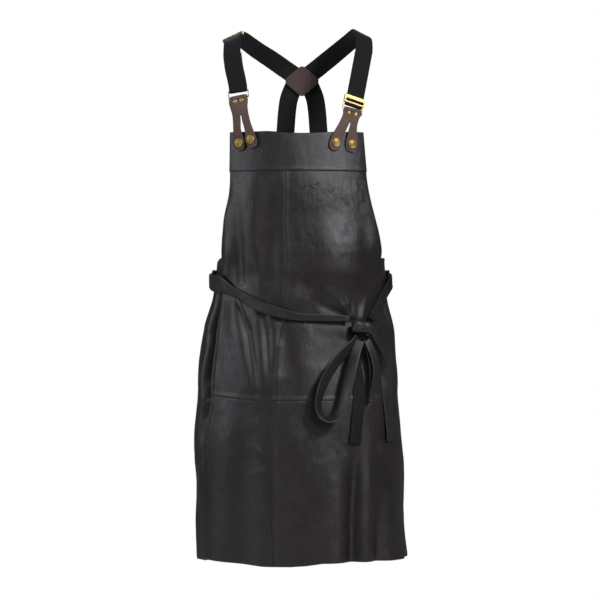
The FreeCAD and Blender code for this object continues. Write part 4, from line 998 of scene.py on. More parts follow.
# ------------------------------------------------------------------ suspenders
FOLD_R, STRAP_W, STRAP_T, TAB_T = 2.5, 36.0, 1.8, 2.6
RUNS = {
    "left": dict(low=Vector((-119.6, -80.0, -109.6)), high=Vector((-120.2, -78.9, -101.0)), side=Vector((0.93, -0.38, 0.03)),
                 front=[(-120.2, -78.9, -101.0, -0.38, -0.92, 0.09), (-123.0, -75.6, -86, -0.37, -0.91, 0.17),
                        (-127.8, -69, -64, -0.36, -0.88, 0.30), (-131, -58, -40, -0.36, -0.80, 0.46),
                        (-131.4, -48.5, -24, -0.37, -0.68, 0.62), (-131.2, -38, -11.5, -0.39, -0.52, 0.76)],
                 crest=(Vector((-130.9, -28.0, -4.2)), Vector((-129.5, 6.0, 6.0)), Vector((0.905, -0.16, 0.407))),
                 over=[(-127.2, 15, 6.6, -0.38, 0.05, 0.92), (-121.3, 26, 5.6, -0.36, 0.25, 0.90), (-113, 37.5, 1.4, -0.30, 0.45, 0.84),
                       (-103, 48, -5.5, -0.27, 0.58, 0.77),
                       (-82, 70, -19, -0.3, 0.7, 0.65), (-58, 89, -33, -0.28, 0.84, 0.46),
                       (-38, 99.5, -46, -0.1, 0.98, 0.17), (-30, 102.2, -51.5, 0, 1, 0), (-6, 102.2, -68, 0, 1, 0),
                       (18, 102.2, -85, 0, 1, 0)]),
    "right": dict(low=Vector((103.0, -80.0, -137.6)), high=Vector((124.1, -44.1, -27.5)), side=Vector((0.93, 0.42, 0.0)),
                  over=[(124.5, -36, -13, 0.42, -0.82, 0.38), (123.8, -25, -1, 0.44, -0.6, 0.66),
                        (121.8, -12, 6.2, 0.46, -0.28, 0.84), (119, 2, 9, 0.46, 0.02, 0.88),
                        (114, 16, 8, 0.42, 0.25, 0.87), (107.5, 31, 4, 0.34, 0.42, 0.84), (98, 48, -3, 0.3, 0.6, 0.74),
                        (80, 70, -16, 0.3, 0.7, 0.65), (60, 89, -31, 0.28, 0.84, 0.46),
                        (45, 101.0, -42, 0.1, 0.98, 0.17), (38, 104.3, -47.5, 0, 1, 0), (16, 104.3, -65, 0, 1, 0),
                        (-8, 104.3, -84, 0, 1, 0)]),
}
RETURN_TOP = {"left": 10.0, "right": 22.0}
PATCH = Vector((4.0, 105.0, -74.5))


def strap_axes(low, high, across):
    d = (high - low).normalized()
    w = (across - d * across.dot(d)).normalized()
    n = w.cross(d)
    if n.y > 0:
        n = n * -1.0
    return d, w, n


def oriented(rows, like):
    way = [Vector([float(v) for v in k[:3]]) for k in rows]
    acr = []
    for i in range(len(rows)):
        dd = way[min(i + 1, len(way) - 1)] - way[max(i - 1, 0)]
        a = dd.cross(Vector([float(v) for v in rows[i][3:6]])).normalized()
        acr.append(a * -1.0 if a.dot(like) < 0 else a)
    return way, acr


for side in ("left", "right"):
    r = RUNS[side]
    d, w, n = strap_axes(r["low"], r["high"], r["side"])
    c = r["low"] - n * FOLD_R
    pts, acr = [], []
    bottom = r["low"] - n * (2 * FOLD_R)
    front, fa = [], []
    if "front" in r:
        front, fa = oriented(catmull(r["front"], 8), w)
        back, ba = [], []
        for i in range(2, len(front) - 14):
            t = (front[i + 1] - front[i - 1]).normalized()
            nn = fa[i].cross(t).normalized()
            if nn.y > 0:
                nn = nn * -1.0
            back.append(front[i] - nn * (2 * FOLD_R))
            ba.append(fa[i])
        pts += back[::-1]
        acr += ba[::-1]
    for k in range(8):
        pts.append(bottom + d * (RETURN_TOP[side] * (1 - k / 7.0)))
        acr.append(w)
    for i in range(1, 12):
        t = math.pi * i / 12.0
        pts.append(c - n * (FOLD_R * math.cos(t)) - d * (FOLD_R * math.sin(t)))
        acr.append(w)
    straight = 5 if front else 24
    for k in range(straight):
        pts.append(r["low"] + (r["high"] - r["low"]) * (k / float(straight)))
        acr.append(w)
    pts += front
    acr += fa
    if front:
        c0, c1, cw = r["crest"]
        along = (c1 - c0).normalized()
        cn = cw.cross(along).normalized()
        for k in range(8):
            pts.append(c0 + (c1 - c0) * (k / 8.0))
            acr.append(cw)
        keys = [tuple(c1) + tuple(cn)] + r["over"]
    else:
        keys = [tuple(r["high"]) + tuple(n)] + r["over"]
    way, wa = oriented(catmull(keys, 8), acr[-1])
    for i in range(1, len(wa)):
        if wa[i].dot(wa[i - 1]) < 0:
            wa[i] = wa[i] * -1.0
    pts += way
    acr += wa
    ob, length = ribbon("webbing_shoulder_strap_" + side, pts, acr, STRAP_W, STRAP_T, [WEB_M], edge=0.8, rows=12)
    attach(ob, "apron"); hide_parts("shoulder_strap_" + side)

for sign, side in ((-1, "left"), (1, "right")):
    x0 = PATCH.x + sign * 10.0
    pts = [(x0, 106.4, -74), (x0 + sign * 9, 106.4, -92), (x0 + sign * 16.5, 106.5, -113),
           (x0 + sign * 20.5, 110, -142), (x0 + sign * 23.5, 114, -180), (x0 + sign * 30.5, 116, -230),
           (x0 + sign * 46, 114, -285), (x0 + sign * 68, 106, -335), (x0 + sign * 94, 90, -376)]
    acr = [(1, 0, 0.05 * sign), (1, 0, 0.15 * sign), (1, 0, 0.15 * sign), (1, 0, 0.1 * sign), (1, 0, 0.1 * sign),
           (1, -0.1 * sign, 0.2 * sign), (1, -0.3 * sign, 0.3 * sign), (1, -0.45 * sign, 0.45 * sign),
           (1, -0.7 * sign, 0.6 * sign)]
    rows = catmull([tuple(p) + tuple(a) for p, a in zip(pts, acr)], 8)
    ob, length = ribbon("webbing_back_strap_" + side, [r_[:3] for r_ in rows], [r_[3:] for r_ in rows], STRAP_W, STRAP_T,
                        [WEB_M], edge=0.8, rows=12)
    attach(ob, "apron"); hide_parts("back_strap_" + side)

# ------------------------------------------------------------------ cut leather plates (tabs, patches)
def plate(name, outline, thick, mats, holes=(), edge=0.55, seg=6, smooth_outline=True):
    """A leather plate with rolled edges: outline of (x, y) mm, round holes (x, y, r)."""
    cu = bpy.data.curves.new(name, "CURVE")
    cu.dimensions = "2D"
    cu.fill_mode = "BOTH"
    cu.extrude = (thick / 2 - edge) * MM
    cu.bevel_depth = edge * MM
    cu.bevel_resolution = 2
    pts = outline
    if smooth_outline:
        ring = [np.array(p, dtype=float) for p in outline]
        k = len(ring)
        pts = []
        for i in range(k):
            p0, p1, p2, p3 = ring[i - 1], ring[i], ring[(i + 1) % k], ring[(i + 2) % k]
            for s in range(seg):
                t = s / seg
                q = 0.5 * (2 * p1 + (p2 - p0) * t * 0.55 / 0.5 * 0.5 / 0.55 + (2 * p0 - 5 * p1 + 4 * p2 - p3) * t * t
                           + (3 * p1 - p0 - 3 * p2 + p3) * t**3)
                pts.append(q)
    cen = np.mean(np.array([list(p) for p in pts]), axis=0)
    sp = cu.splines.new("POLY")
    sp.points.add(len(pts) - 1)
    # pull the line in by the roll so that the plate keeps its size
    arr = np.array([list(p) for p in pts], dtype=float)
    tan = np.roll(arr, -1, axis=0) - np.roll(arr, 1, axis=0)
    nrm = np.stack([-tan[:, 1], tan[:, 0]], axis=1)
    nrm /= np.linalg.norm(nrm, axis=1, keepdims=True) + 1e-9
    area = 0.5 * np.sum(arr[:, 0] * np.roll(arr[:, 1], -1) - np.roll(arr[:, 0], -1) * arr[:, 1])
    arr = arr + nrm * (edge if area > 0 else -edge)
    for p, q in zip(sp.points, arr):
        p.co = (q[0] * MM, q[1] * MM, 0, 1)
    sp.use_cyclic_u = True
    for hx, hy, hr in holes:
        sp = cu.splines.new("POLY")
        sp.points.add(23)
        for k in range(24):
            a = 2 * math.pi * k / 24
            sp.points[k].co = ((hx + (hr + edge) * math.cos(a)) * MM, (hy + (hr + edge) * math.sin(a)) * MM, 0, 1)
        sp.use_cyclic_u = True
    tmp = bpy.data.objects.new(name + "_c", cu)
    bpy.context.scene.collection.objects.link(tmp)
    me = bpy.data.meshes.new_from_object(tmp)
    bpy.data.objects.remove(tmp)
    bpy.data.curves.remove(cu)
    bm = bmesh.new()
    bm.from_mesh(me)
    bmesh.ops.remove_doubles(bm, verts=bm.verts, dist=2e-6)
    bmesh.ops.triangulate(bm, faces=[f for f in bm.faces if len(f.verts) > 4])
    bmesh.ops.recalc_face_normals(bm, faces=bm.faces)
    me.clear_geometry()
    bm.to_mesh(me)
    bm.free()
    me.materials.clear()
    for m in mats:
        me.materials.append(m)
    if len(mats) > 1:
        for p in me.polygons:
            p.material_index = 1 if abs(p.normal.z) < 0.45 else 0
    ob = bpy.data.objects.new(name, me)
    bpy.context.scene.collection.objects.link(ob)
    for p in me.polygons:
        p.use_smooth = abs(p.normal.z) < 0.98
    return ob


def rounded_rhombus(hw, hh, radius, seg=10):
    """Outline of a rhombus with rounded corners, anticlockwise from the right."""
    pts = []
    corners = [(hw, 0.0), (0.0, hh), (-hw, 0.0), (0.0, -hh)]
    for k in range(4):
        p = np.array(corners[k]); a = np.array(corners[k - 1]); b = np.array(corners[(k + 1) % 4])
        da = (a - p) / np.linalg.norm(a - p); db = (b - p) / np.linalg.norm(b - p)
        half = math.acos(float(np.clip(da @ db, -1, 1))) / 2
        bis = (da + db) / np.linalg.norm(da + db)
        c = p + bis * radius / math.sin(half)
        u0 = p + da * radius / math.tan(half) - c
        u1 = p + db * radius / math.tan(half) - c
        a0, a1 = math.atan2(u0[1], u0[0]), math.atan2(u1[1], u1[0])
        while a1 < a0:
            a1 += 2 * math.pi
        for i in range(seg + 1):
            t = a0 + (a1 - a0) * i / seg
            pts.append((c[0] + radius * math.cos(t), c[1] + radius * math.sin(t)))
    return pts


for label, y, face in (("cross_patch_inner", 100.0, -1), ("cross_patch_outer", 108.8, 1)):
    ob = plate("leather_" + label, rounded_rhombus(38.0, 31.9, 9.0), 2.0, [PATCH_M, TAB_EDGE], smooth_outline=False)
    m = basis((PATCH.x, y, PATCH.z - 1.0), (1, 0, 0), (0, -1, 0))
    bake_transform(ob, m)
    ring = rounded_rhombus(38.0 - 4.6, 31.9 - 3.9, 6.5, 10)
    ring.append(ring[0])
    pts = [m @ Vector((x * MM, yy * MM, (1.0 if face < 0 else -1.0) * MM)) for x, yy in ring]
    nrm = [Vector((0, float(face), 0))] * len(pts)
    stc = stitch_mesh("st", [p / MM for p in pts], nrm, [THREAD_BROWN], pitch=3.6, length=2.6, radius=0.36)
    ob2 = join("leather_" + label + "_sewn", [ob, stc])
    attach(ob2, "apron"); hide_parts(label)

# ------------------------------------------------------------------ front tabs
TAB_SHAPES = {
    "left": dict(
        outline=[(-17.5, 0), (17.5, 0), (16.5, -20), (16.2, -34), (17.5, -50), (20.5, -66), (23.5, -80), (24, -90),
                 (20.5, -97), (13, -99.5), (6, -97.5), (2, -91), (1, -80), (3.2, -68), (2.8, -58), (1.4, -46), (0.9, -35),
                 (-1.1, -35), (-2.4, -46), (-4.4, -58), (-3.8, -68), (-2.0, -80), (-2.2, -90), (-5, -97), (-11, -100.5),
                 (-18, -99), (-23, -92), (-24, -82), (-21, -64), (-18.5, -48), (-17, -30)],
        holes=[(-12.9, -85.0), (12.2, -82.9)]),
    "right": dict(
        outline=[(-17.5, 0), (17.5, 0), (15.8, -12), (14.8, -24), (16.5, -36), (20.5, -48), (23.5, -58), (23.5, -68),
                 (19.5, -76), (12.5, -78), (5, -76), (0.5, -69), (-1, -60), (-0.6, -50), (-0.2, -38), (0.4, -25),
                 (-1.8, -25), (-5, -38), (-8.4, -50), (-9.6, -60), (-10, -70), (-12.5, -79), (-19, -83), (-26.5, -82),
                 (-32, -75), (-33, -66), (-29.5, -50), (-24, -34), (-20, -20), (-18, -10)],
        holes=[(11.8, -62.7), (-20.2, -66.5)]),
}
RING_H = {"left": 16.0, "right": 12.8}
RING_WIRE = 2.4
tab_plane = {}
for side in ("left", "right"):
    r = RUNS[side]
    d, w, n = strap_axes(r["low"], r["high"], r["side"])
    ring_low = r["low"] - n * FOLD_R - d * (RING_H[side] - RING_WIRE)
    phi = angle_at(-101.0 if side == "left" else 84.0, -226.0)
    foot = at(phi, -226.0, (1.9 if side == "left" else 1.0) + TAB_T / 2.0)
    fr = FOLD_R + 1.5
    n2 = n.copy()
    for turn in range(8):
        top = ring_low + n2 * fr
        down = foot - top
        d2 = (down * -1.0).normalized()
        w2 = (w - d2 * w.dot(d2)).normalized()
        n2 = w2.cross(d2)
        if n2.y > 0:
            n2 = n2 * -1.0
    tab_plane[side] = (top, d2, w2, n2)
    outline = TAB_SHAPES[side]["outline"]
    holes = [(x, y, 2.7) for x, y in TAB_SHAPES[side]["holes"]] + [(-7.0, -6.0, 1.4), (7.0, -6.0, 1.4)]
    ob = plate("tab", outline, TAB_T, [TAB_M, TAB_EDGE], holes=holes)
    m = basis(top, w2, n2)
    bake_transform(ob, m)
    c = top - n2 * fr
    pts = [top - d2 * 3.0, top - d2 * 1.0]
    for i in range(0, 13):
        a = math.pi * i / 12.0
        pts.append(c + n2 * (fr * math.cos(a)) + d2 * (fr * math.sin(a)))
    for k in range(1, 7):
        pts.append(top - n2 * (2 * fr) - d2 * (12.0 * k / 6))
    fold, _ = ribbon("tab_fold", pts, [w2] * len(pts), [34.6, 34.6, 33.5, 31.5, 31.5], TAB_T, [TAB_M], edge=0.7, rows=8)
    tab = join("leather_button_tab_" + side, [ob, fold])
    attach(tab, "apron"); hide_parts("button_tab_" + side)

# ------------------------------------------------------------------ back tabs
for sign, side in ((-1, "left"), (1, "right")):
    x0 = PATCH.x + sign * 10.0
    end = Vector((x0 + sign * 94, 90, -376))
    prev = Vector((x0 + sign * 68, 106, -335))
    edge_p = at(sign * 111.0, -446.0, -2.4 - 5.0)
    inner_p = at(sign * 95.0, -474.0, -2.4 - 3.2)
    sd = (prev - end).normalized()
    out = facing(sign * 115.0, -420.0)
    sacr = Vector((1, -0.7 * sign, 0.6 * sign))
    sw = (sacr - sd * sacr.dot(sd)).normalized()
    sn = sw.cross(sd)
    if sn.dot(out) < 0:
        sn = sn * -1.0
    mids = [end + sd * 24.0 + sn * 3.4, end + sd * 6.0 + sn * 2.7, end - sd * 8.0 + sn * 1.4,
            end * 0.45 + edge_p * 0.55, edge_p, inner_p]
    q = out.cross(edge_p - end).normalized()
    t3 = (sw + q * (1.0 if q.dot(sw) > 0 else -1.0)).normalized()
    last = facing(sign * 100.0, -455.0).cross(inner_p - edge_p).normalized()
    if last.dot(t3) < 0:
        last = last * -1.0
    turn = [sw, sw, sw, t3, last, last]
    rows = catmull([tuple(a) + tuple(b) for a, b in zip(mids, turn)], 6)
    ob, _ = ribbon("leather_back_tab_" + side, [x[:3] for x in rows], [x[3:] for x in rows],
                   [37, 37, 37, 34, 30, 26], TAB_T, [TAB_M], edge=0.8, rows=8)
    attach(ob, "apron"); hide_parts("back_tab_" + side)

# ------------------------------------------------------------------ buttons
joint = {j["name"]: j for j in frame["record"]["behaviour"]["joints"]}
CAP = [(0.0, 1.2), (2.65, 1.2), (2.65, 0.0), (6.6, 0.0), (7.6, 0.1), (8.3, 0.45), (8.5, 1.0), (8.4, 1.6), (8.0, 2.15),
       (7.4, 2.45), (6.9, 2.42), (6.5, 2.2), (6.2, 2.05), (5.8, 2.1), (5.5, 2.3), (5.0, 2.5), (4.2, 2.72), (3.4, 2.9),
       (2.9, 2.95), (2.6, 2.8), (2.3, 2.72), (2.0, 2.85), (1.6, 3.2), (1.0, 3.45), (0.0, 3.55)]
for side in ("left", "right"):
    for pos in ("outer", "inner"):
        j = joint["button_%s_%s_swivel" % (side, pos)]
        top, d2, w2, n2 = tab_plane[side]
        q = Vector(j["pos_m"]) / MM
        nn = Vector(j["axis"])
        ob = lathe("cap", CAP, [BRASS])
        beads = []
        for k in range(24):
            a = 2 * math.pi * k / 24
            b = lathe("bead", [(0.0, 0.0), (0.42, 0.08), (0.42, 0.2), (0.25, 0.4), (0.0, 0.46)], [BRASS], seg=8)
            b.data.transform(Matrix.Translation((4.7 * math.cos(a) * MM, 4.7 * math.sin(a) * MM, 2.5 * MM)))
            beads.append(b)
        ob = join("brass_button_%s_%s" % (side, pos), [ob] + beads)
        bake_transform(ob, basis(q + nn * (TAB_T / 2 + 0.4), w2, nn))
        body = "button_%s_%s" % (side, pos)
        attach(ob, body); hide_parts(body)

# ------------------------------------------------------------------ waist tie
def tie_rows(rows, lift_fn, steps=6):
    pts, acr = [], []
    dense = catmull(rows, steps)
    for (phi, z, out, roll, _w) in dense:
        p = at(phi, z, out)
        pts.append(p)
    for i, (phi, z, out, roll, _w) in enumerate(dense):
        d = pts[min(i + 1, len(pts) - 1)] - pts[max(i - 1, 0)]
        o = (at(phi, z, 10.0) - at(phi, z, 0.0)).normalized()
        a = o.cross(d).normalized()
        d.normalize()
        a = Matrix.Rotation(math.radians(roll), 3, d) @ a
        acr.append(a)
    return pts, acr, dense


def leather_wave(seed, amp=0.35):
    r = np.random.default_rng(seed)
    ph_ = r.uniform(0, 6.28, 6)

    def f(s, x):
        return amp * (math.sin(s / 9.0 + ph_[0]) * math.sin(x / 6.0 + ph_[1]) + 0.6 * math.sin(s / 21.0 + ph_[2] + x / 9.0)
                      + 0.4 * math.sin(s / 4.2 + ph_[3]) * math.cos(x / 4.0 + ph_[4]))
    return f


tie_a = [(91.0, -466, 3.2), (100.0, -466, 3.2), (112.0, -466, 3.4), (128.0, -460, 3.4), (145.0, -450, 3.4),
         (165.0, -442, 3.8), (180.0, -440, 5.0), (195, -442, 7.5), (213, -450, 11.5), (233, -461, 11.0),
         (248, -468, 9.8), (262, -472, 8.8), (280, -477, 7.2), (294, -480, 6.4), (302, -484.5, 6.0), (311, -493.5, 5.6),
         (318, -501, 5.4), (325.5, -511, 5.4), (333.5, -522, 5.4), (347.4, -535, 5.2), (360, -543, 5.2),
         (372.5, -544.5, 5.2), (385.6, -546, 5.8), (391, -547, 6.6)]
tie_a_width = [27.0] * 12 + [30.0, 34.0, 27.0, 19.0, 17.0, 19.0, 21.0, 20.0, 15.0, 14.0, 13.0, 10.0]
tie_a_roll = [0.0] * 14 + [4, 8, 8, 0, -6, -4, 6, 10, 6, 0]
tie_b = [(-91.0, -466, 3.2), (-100.0, -466, 3.2), (-112.0, -467, 3.4), (-128.0, -475, 3.4), (-145.0, -485, 3.4),
         (-165.0, -489, 3.8), (-180.0, -490, 5.0), (-195, -488, 7.5), (-213, -482, 9.0), (-233, -476, 9.0),
         (-248, -472, 8.6), (-262, -472, 8.4), (-280, -480, 7.6), (-290, -494, 6.4), (-299, -513, 6.2),
         (-308, -534, 6.4), (-312.5, -548, 7.0)]
tie_b_width = [27.0] * 11 + [26.0, 21.0, 17.0, 16.0, 16.0, 16.0]
tie_b_roll = [0.0] * 11 + [0, 14, 24, 26, 24, 14]
TIE_LEN = {}
for label, rows_, rolls, wid, seed in (
        ("waist_tie_left", tie_a, tie_a_roll, tie_a_width, 3), ("waist_tie_right", tie_b, tie_b_roll, tie_b_width, 4)):
    pts, acr, dense = tie_rows([tuple(q) + (ro, w_) for q, ro, w_ in zip(rows_, rolls, wid)], zero)
    widths = [float(q[4]) for q in dense]
    # the right span is given the darker tie-leather copy as painted shade
    ob, length = ribbon("leather_" + label, pts, acr, widths, 2.4, [LEATHER_TIE if label.endswith("left") else LEATHER_PAINTED_SHADE], edge=1.1, rows=10,
                        wave=leather_wave(seed, 0.4))
    TIE_LEN[label] = length
    # edge stitching
    e = []
    P = np.array([list(p) for p in pts]); A = np.array([list(a) for a in acr])
    T = np.gradient(P, axis=0); T /= np.linalg.norm(T, axis=1, keepdims=True)
    W = A - T * np.sum(A * T, axis=1, keepdims=True); W /= np.linalg.norm(W, axis=1, keepdims=True)
    Nn = np.cross(T, W)
    outw = np.array([list((at(q[0], q[1], 10.0) - at(q[0], q[1], 0.0)).normalized()) for q in dense])
    sg = np.sign(np.sum(Nn * outw, axis=1, keepdims=True)); sg[sg == 0] = 1
    Nn = Nn * sg
    wd = np.interp(np.linspace(0, 1, len(P)), np.linspace(0, 1, len(widths)), widths)[:, None]
    for s_ in (-1, 1):
        e.append(stitch_mesh("st", P + W * s_ * (wd / 2 - 3.0) + Nn * 1.25, Nn, [THREAD], pitch=4.4, length=3.0))
    ob = join("leather_" + label + "_sewn", [ob] + e)
    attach(ob, "apron"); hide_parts(label)

# ------------------------------------------------------------------ knot
KNOT = dict(x=113.0, z=-566.0)
kphi = angle_at(KNOT["x"], KNOT["z"])
kn = facing(kphi, KNOT["z"])
kt = kn.cross(Vector((0, 0, 1))) * -1.0


def knot_shape(name, centre, half_w, half_h, half_d, seed, squash=0.0):
    """A plump wrapped band: rounded box with drawn-in ends and creases running round it."""
    verts, faces = [], []
    nu, nv = 72, 48
    r = np.random.default_rng(seed)
    f = r.uniform(0, 6.28, 8)
    for i in range(nv + 1):
        v = -1 + 2 * i / nv                       # along the width
        for j in range(nu):
            a = 2 * math.pi * j / nu
            ca, sa = math.cos(a), math.sin(a)
            k = (abs(ca) ** 3.2 + abs(sa) ** 3.2) ** (-1 / 3.2)
            endf = math.sqrt(max(0.0, 1 - abs(v) ** 5.0))
            crease = 0.022 * math.sin(5 * v + f[0] + 0.8 * math.sin(a + f[1])) + 0.010 * math.sin(11 * v + f[2] + 1.2 * math.sin(2 * a + f[3]))
            pinch = 1 - 0.03 * math.exp(-((v - 0.1 + 0.25 * sa) / 0.16) ** 2)
            rad = k * (0.35 + 0.65 * endf) * (1 + crease) * pinch
            x = v * half_w * (1 - 0.10 * sa * (1 if sa < 0 else 0.2))
            y = ca * rad * half_d
            z = sa * rad * half_h + 5.5 * (1 - v * v) * (0.5 - 0.5 * sa) - 3.0 * v
            verts.append((x, y, z))
    nrows = nv + 1
    for i in range(nv):
        for j in range(nu):
            a, b = i * nu + j, i * nu + (j + 1) % nu
            faces.append((a, b, b + nu, a + nu))
    c0 = len(verts)
    verts.append((-half_w, 0, 0)); verts.append((half_w, 0, 0))
    for j in range(nu):
        faces.append((c0, (j + 1) % nu, j))
        faces.append((c0 + 1, nv * nu + j, nv * nu + (j + 1) % nu))
    m = Matrix(((kt.x, kn.x, 0, centre[0]), (kt.y, kn.y, 0, centre[1]), (kt.z, kn.z, 1, centre[2]), (0, 0, 0, 1)))
    vs = [(m @ Vector(v)) * MM for v in verts]
    ob = new_object(name, vs, faces, [LEATHER_TIE])
    fix_normals(ob)
    return ob


kc = at(kphi, KNOT["z"] + 1.0, 15.0)
main = knot_shape("knot", kc, 20.5, 13.5, 11.0, 5)
ob = join("leather_bow_knot", [main])
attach(ob, "apron"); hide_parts("bow_knot")


# ------------------------------------------------------------------ loops and tails
def hang_rows(rows, steps=8):
    """rows of (x, z, out, roll, width): x across, z height, out from the form, roll of the face."""
    dense = catmull(rows, steps)
    pts = [at(angle_at(q[0], q[1]), q[1], q[2]) for q in dense]
    acr = []
    for i, q in enumerate(dense):
        d = (pts[min(i + 1, len(pts) - 1)] - pts[max(i - 1, 0)]).normalized()
        o = facing(angle_at(q[0], q[1]), q[1])
        side = o.cross(d).normalized()
        acr.append(Matrix.Rotation(math.radians(q[3]), 3, d) @ side)
    return pts, acr, [q[4] for q in dense]


def edge_stitched(name, pts, acr, widths, thick, seed, amp=0.3, both=True, inset=2.6):
    ob, length = ribbon(name, pts, acr, widths, thick, [LEATHER_TIE], edge=0.9, rows=10, wave=leather_wave(seed, amp))
    P = np.array([list(p) for p in pts]); A = np.array([list(a) for a in acr])
    T = np.gradient(P, axis=0); T /= np.linalg.norm(T, axis=1, keepdims=True)
    W = A - T * np.sum(A * T, axis=1, keepdims=True); W /= np.linalg.norm(W, axis=1, keepdims=True)
    Nn = np.cross(T, W)
    wd = np.asarray(widths, dtype=float)[:, None]
    parts = [ob]
    for s_ in (-1, 1):
        for f_ in ((1, -1) if both else (1,)):
            parts.append(stitch_mesh("st", P + W * s_ * (wd / 2 - inset) + Nn * f_ * thick * 0.52, Nn * f_, [THREAD],
                                     pitch=4.4, length=3.0, radius=0.3))
    return parts, length


loop_l = [(104, -584, 16, -22, 19), (93, -596, 19.5, -28, 22), (76, -613, 22, -32, 25), (58, -637, 22.5, -34, 26),
          (45, -660, 23, -38, 26), (37, -682, 23.5, -44, 26), (32, -703, 24, -54, 26), (33, -720, 24.5, -60, 26),
          (40, -732, 25, -64, 26), (50, -736.5, 26, -62, 26), (61, -731, 26.5, -58, 26), (70, -716, 27, -54, 26),
          (76, -695, 27, -50, 26), (81, -673, 27, -46, 25), (86, -651, 26.5, -44, 24), (91, -630, 25.5, -40, 22),
          (98, -608, 23, -34, 20), (106, -588, 19.5, -24, 18)]
pts, acr, wd = hang_rows(loop_l)
parts, length = edge_stitched("lp", pts, acr, wd, 2.0, 21)
ob = join("leather_bow_loop_left", parts)
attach(ob, "loop_left"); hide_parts("bow_loop_left")

loop_r = [(120, -588, 13, 10, 16), (125, -600, 15, 14, 18), (130, -620, 16, 16, 20), (133, -646, 17, 18, 20),
          (132, -672, 17, 14, 17), (128, -692, 17.0, 6, 12), (126, -698, 18.4, 0, 10), (127, -692, 20.2, 0, 12),
          (131, -672, 22, 10, 17), (133, -646, 23.5, 16, 20), (130, -620, 22.5, 16, 20), (125, -602, 20, 10, 18), (120, -588, 17.0, 4, 16)]
pts, acr, wd = hang_rows(loop_r)
parts, length = edge_stitched("lp", pts, acr, wd, 2.0, 22)
ob = join("leather_bow_loop_right", parts)
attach(ob, "loop_right"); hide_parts("bow_loop_right")

tail_l = [(108, -578, 5.4, 0, 17), (105, -596, 4.4, 4, 19), (104, -616, 4.0, 8, 21), (105, -645, 4.0, 10, 24),
          (109, -675, 4.0, 10, 25), (111, -705, 4.0, 4, 25), (107, -745, 4.0, -6, 25), (104, -786, 4.0, -8, 25)]
pts, acr, wd = hang_rows(tail_l)
parts, length = edge_stitched("tl", pts, acr, wd, 2.0, 23)
# the left tail is given the darker tie-leather copy as painted shade
parts[0].data.materials[0] = LEATHER_PAINTED_SHADE
ob = join("leather_tie_tail_left", parts)
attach(ob, "tail_left"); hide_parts("tie_tail_left")

tail_r = [(126, -578, 11.0, 60, 16), (133, -590, 9.5, 66, 18), (144, -610, 9.0, 66, 20), (154, -636, 8.0, 56, 23),
          (162, -664, 7.0, 30, 28), (167, -700, 6.0, 10, 33), (171, -742, 5.6, 2, 34), (174, -782, 5.6, 0, 34)]
pts, acr, wd = hang_rows(tail_r)
parts, length = edge_stitched("tr", pts, acr, wd, 2.0, 24)
ob = join("leather_tie_tail_right", parts)
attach(ob, "tail_right"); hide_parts("tie_tail_right")

# ------------------------------------------------------------------ metal kept from the CAD
for node, mat in (("strap_slide_left", BRASS), ("strap_slide_right", BRASS), ("tab_ring_left", NICKEL),
                  ("tab_ring_right", BRASS), ("tab_rivets_left", BRASS), ("tab_rivets_right", BRASS),
                  ("back_tab_rivets_left", BRASS), ("back_tab_rivets_right", BRASS), ("button_tacks_left", NICKEL),
                  ("button_tacks_right", NICKEL)):
    for o in bpy.data.objects:
        if o.type == "MESH" and (o.name == node or o.name.split(".")[0] == node):
            if not o.data.materials:
                o.data.materials.append(mat)
            for s_ in o.material_slots:
                s_.material = mat

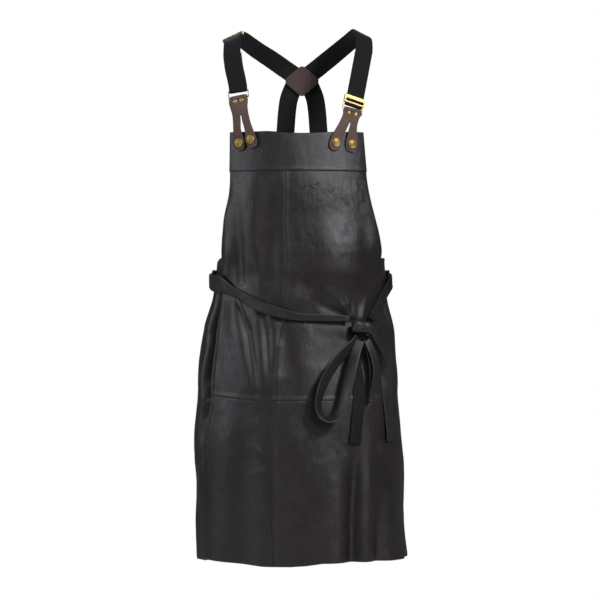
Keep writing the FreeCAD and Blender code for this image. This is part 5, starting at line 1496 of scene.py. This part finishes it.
# ------------------------------------------------------------------ floor, light
fl_v, fl_f = [], []
seg = 96
fl_v.append((0, 0, -1.30))
for k in range(seg):
    a = 2 * math.pi * k / seg
    fl_v.append((1.15 * math.cos(a), 1.15 * math.sin(a), -1.30))
for k in range(seg):
    fl_f.append((0, 1 + k, 1 + (k + 1) % seg))
fm = Nodes("pale_floor")
fm.b.inputs["Roughness"].default_value = 0.8
fm.link(fm.ramp(fm.noise(fm.tc.outputs["Object"], 6.0, 3), [(0.3, (0.80, 0.80, 0.80, 1)), (0.7, (0.84, 0.84, 0.84, 1))]),
        fm.b.inputs["Base Color"])
floor = new_object("floor", fl_v, fl_f, [fm.m], None, False)

world = bpy.data.worlds.new("World")
bpy.context.scene.world = world
world.use_nodes = True
wt = world.node_tree
wt.nodes.clear()
wo = wt.nodes.new("ShaderNodeOutputWorld")
mixs = wt.nodes.new("ShaderNodeMixShader")
lp = wt.nodes.new("ShaderNodeLightPath")
bg_cam = wt.nodes.new("ShaderNodeBackground")
bg_cam.inputs[0].default_value = (1, 1, 1, 1)
bg_cam.inputs[1].default_value = 1.0
bg_l = wt.nodes.new("ShaderNodeBackground")
bg_l.inputs[0].default_value = (0.95, 0.97, 1.0, 1)
bg_l.inputs[1].default_value = 0.13
wt.links.new(lp.outputs["Is Camera Ray"], mixs.inputs[0])
wt.links.new(bg_l.outputs[0], mixs.inputs[1])
wt.links.new(bg_cam.outputs[0], mixs.inputs[2])
wt.links.new(mixs.outputs[0], wo.inputs[0])


def area_light(name, loc, target, size, power, color=(1, 1, 1), size_y=None):
    d = bpy.data.lights.new(name, "AREA")
    d.energy = power
    d.color = color
    d.shape = "RECTANGLE"
    d.size = size
    d.size_y = size_y or size
    o = bpy.data.objects.new(name, d)
    bpy.context.scene.collection.objects.link(o)
    o.location = loc
    o.rotation_euler = (Vector(target) - Vector(loc)).to_track_quat("-Z", "Y").to_euler()
    return o


area_light("key_right", (1.7, -2.3, 1.35), (0.05, 0.0, -0.45), 0.45, 74, (0.95, 0.96, 1.0), 0.45)
area_light("fill_left", (-2.4, -1.0, 0.4), (0.0, 0.0, -0.5), 0.5, 24, (0.90, 0.94, 1.0), 1.6)
area_light("front_soft", (1.1, -3.0, 0.5), (0.0, 0.0, -0.45), 0.8, 8, (1, 0.98, 0.97), 0.8)
area_light("back_soft", (0.3, 2.6, 0.5), (0.0, 0.0, -0.4), 1.4, 34, (1, 1, 1), 1.4)

bpy.context.scene.view_settings.view_transform = "Standard"
bpy.context.scene.view_settings.look = "None"
bpy.context.scene.view_settings.exposure = 0.0
bpy.context.scene.view_settings.gamma = 1.0
